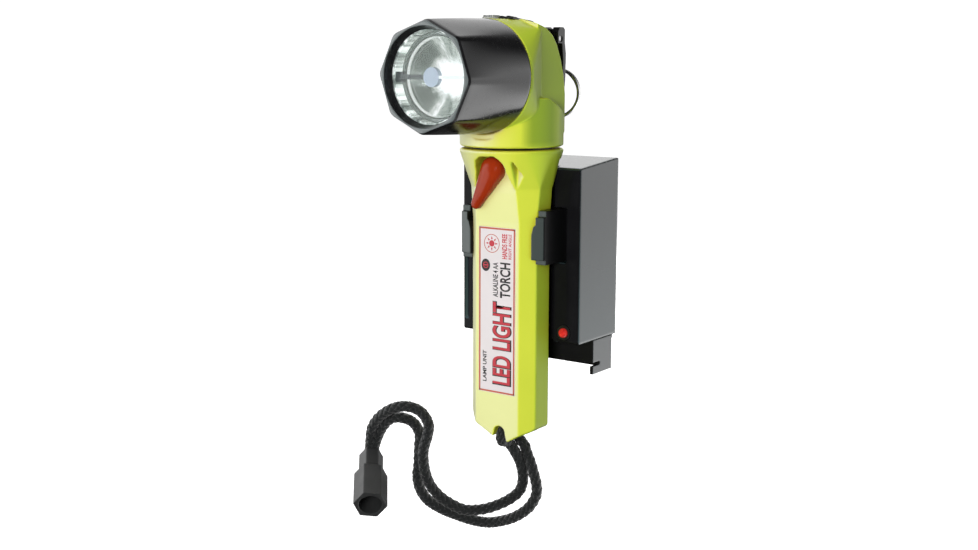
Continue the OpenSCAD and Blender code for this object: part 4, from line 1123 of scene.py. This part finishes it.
def world():
    w = bpy.data.worlds.new("studio")
    scene.world = w
    w.use_nodes = True
    t = w.node_tree
    t.nodes.clear()

    def n(kind, **kw):
        x = t.nodes.new(kind)
        for k, v in kw.items():
            setattr(x, k, v)
        return x

    def mth(op, a, b=None, clamp=False):
        x = n("ShaderNodeMath", operation=op, use_clamp=clamp)
        for i, v in enumerate((a, b)):
            if v is None:
                continue
            if isinstance(v, (int, float)):
                x.inputs[i].default_value = v
            else:
                t.links.new(v, x.inputs[i])
        return x.outputs[0]

    tc = n("ShaderNodeTexCoord")
    vec = tc.outputs["Generated"]
    sep = n("ShaderNodeSeparateXYZ")
    t.links.new(vec, sep.inputs[0])

    def smooth(v, a, b):
        x = n("ShaderNodeMapRange", interpolation_type="SMOOTHSTEP")
        x.inputs["From Min"].default_value = a
        x.inputs["From Max"].default_value = b
        t.links.new(v, x.inputs["Value"])
        return x.outputs[0]

    def spot(d, a, b, k):
        """soft round patch of light about direction d, from cos a to cos b, strength k"""
        dp = n("ShaderNodeVectorMath", operation="DOT_PRODUCT")
        dp.inputs[1].default_value = Vector(d).normalized()
        t.links.new(vec, dp.inputs[0])
        return mth("MULTIPLY", smooth(dp.outputs["Value"], a, b), k)

    def band(zlo, zhi, soft, d, a, b, k):
        """patch bounded by heights zlo to zhi in the bearing of d"""
        z = sep.outputs[2]
        s = mth("MULTIPLY", smooth(z, zlo - soft, zlo + soft), mth("SUBTRACT", 1.0, smooth(z, zhi - soft, zhi + soft)))
        dp = n("ShaderNodeVectorMath", operation="DOT_PRODUCT")
        dp.inputs[1].default_value = Vector(d).normalized()
        t.links.new(vec, dp.inputs[0])
        return mth("MULTIPLY", mth("MULTIPLY", s, smooth(dp.outputs["Value"], a, b)), k)

    # cards standing behind the object: brightness by bearing about the beam axis
    th = mth("ARCTAN2", sep.outputs[0], sep.outputs[2])
    t01 = mth("DIVIDE", mth("ADD", th, math.radians(100)), 2 * math.pi)
    t01 = mth("FRACT", mth("ADD", t01, 1.0))
    r = n("ShaderNodeValToRGB")
    el = r.color_ramp.elements
    stops = [(0.0, 0.20), (0.03, 0.42), (0.061, 0.50), (0.10, 0.50), (0.139, 0.43), (0.20, 0.46), (0.228, 0.44), (0.250, 0.28), (0.278, 0.07), (0.31, 0.015), (0.372, 0.01), (0.40, 0.06), (0.45, 0.30), (0.489, 0.56), (0.528, 0.50), (0.567, 0.46), (0.606, 0.58), (0.644, 0.92), (0.683, 1.0), (0.722, 0.72), (0.760, 0.28), (0.80, 0.04), (0.86, 0.01), (0.97, 0.03)]
    while len(el) > 1:
        el.remove(el[-1])
    el[0].position, el[0].color = stops[0][0], (stops[0][1],) * 3 + (1,)
    for p, v in stops[1:]:
        e = el.new(p)
        e.color = (v, v, v, 1)
    t.links.new(t01, r.inputs[0])
    # white card at the left of the camera, its near edge upright
    bear = mth("ARCTAN2", mth("MULTIPLY", sep.outputs[0], -1.0), mth("MULTIPLY", sep.outputs[1], -1.0))
    card = mth("MULTIPLY", smooth(bear, math.radians(33.6), math.radians(35.6)), mth("SUBTRACT", 1.0, smooth(bear, math.radians(62), math.radians(75))))
    card = mth("MULTIPLY", card, mth("MULTIPLY", smooth(sep.outputs[2], -0.55, -0.45), mth("SUBTRACT", 1.0, smooth(sep.outputs[2], 0.25, 0.4))))
    card = mth("MULTIPLY", card, 2.6)
    behind = mth("MULTIPLY", mth("MULTIPLY", r.outputs[0], 3.3), smooth(sep.outputs[1], -0.15, 0.25))
    parts = [
        behind,
        card,
        band(-0.30, 0.75, 0.05, (-1, 0.05, 0.1), 0.6, 0.85, 0.7),
    ]
    acc = 0.02
    for p in parts:
        acc = mth("ADD", acc, p)
    lp = n("ShaderNodeLightPath")
    bg = n("ShaderNodeBackground")
    # diffuse rays see an even grey, mirror rays see the cards
    mixv = n("ShaderNodeMix", data_type="FLOAT")
    t.links.new(lp.outputs["Is Glossy Ray"], mixv.inputs[0])
    mixv.inputs[2].default_value = 0.12
    t.links.new(acc, mixv.inputs[3])
    mixc = n("ShaderNodeMix", data_type="FLOAT")
    t.links.new(lp.outputs["Is Camera Ray"], mixc.inputs[0])
    t.links.new(mixv.outputs[0], mixc.inputs[2])
    mixc.inputs[3].default_value = 1.0
    t.links.new(mixc.outputs[0], bg.inputs["Strength"])
    out = n("ShaderNodeOutputWorld")
    t.links.new(bg.outputs[0], out.inputs[0])


world()


def area(name, loc, target, size, power, colour=(1, 1, 1), glossy=False):
    la = bpy.data.lights.new(name, "AREA")
    la.shape = "RECTANGLE"
    la.size, la.size_y = size
    la.energy = power
    la.color = colour
    o = bpy.data.objects.new(name, la)
    scene.collection.objects.link(o)
    o.location = loc
    d = Vector(target) - Vector(loc)
    o.rotation_euler = d.to_track_quat("-Z", "Y").to_euler()
    o.visible_glossy = glossy
    o.visible_camera = False
    return o


area("front_left", (-0.80, -0.85, 0.10), (0, -0.05, 0.0), (0.5, 0.5), 3.0)
area("camera_side", (0.36, -1.06, 0.12), (0, -0.05, 0.0), (0.4, 0.4), 10.0)
area("top", (-0.1, -0.15, 1.1), (0, -0.04, 0.0), (0.6, 0.6), 2.2)
# soft fill from behind, out of the camera's way, so that the back reads too
area("behind", (-0.35, 1.0, 0.45), (0, -0.03, 0.0), (0.7, 0.7), 7.0)

# ---------------------------------------------------------------- camera
A, E, RO = math.radians(35.556), math.radians(9.487), math.radians(0.168)
back = Vector((math.sin(A) * math.cos(E), -math.cos(A) * math.cos(E), math.sin(E)))
right = Vector((math.cos(A), math.sin(A), 0))
up = back.cross(right)
r2 = right * math.cos(RO) + up * math.sin(RO)
u2 = up * math.cos(RO) - right * math.sin(RO)
cam = bpy.data.cameras.new("photo_camera")
cam.sensor_width = 36
cam.lens = 1316.8 / 978 * 36
cam.clip_start = 0.01
co = bpy.data.objects.new("photo_camera", cam)
scene.collection.objects.link(co)
co.matrix_world = Matrix(((r2.x, u2.x, back.x, 0.36843), (r2.y, u2.y, back.y, -0.57868), (r2.z, u2.z, back.z, 0.09751), (0, 0, 0, 1)))
scene.camera = co

plain(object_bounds())
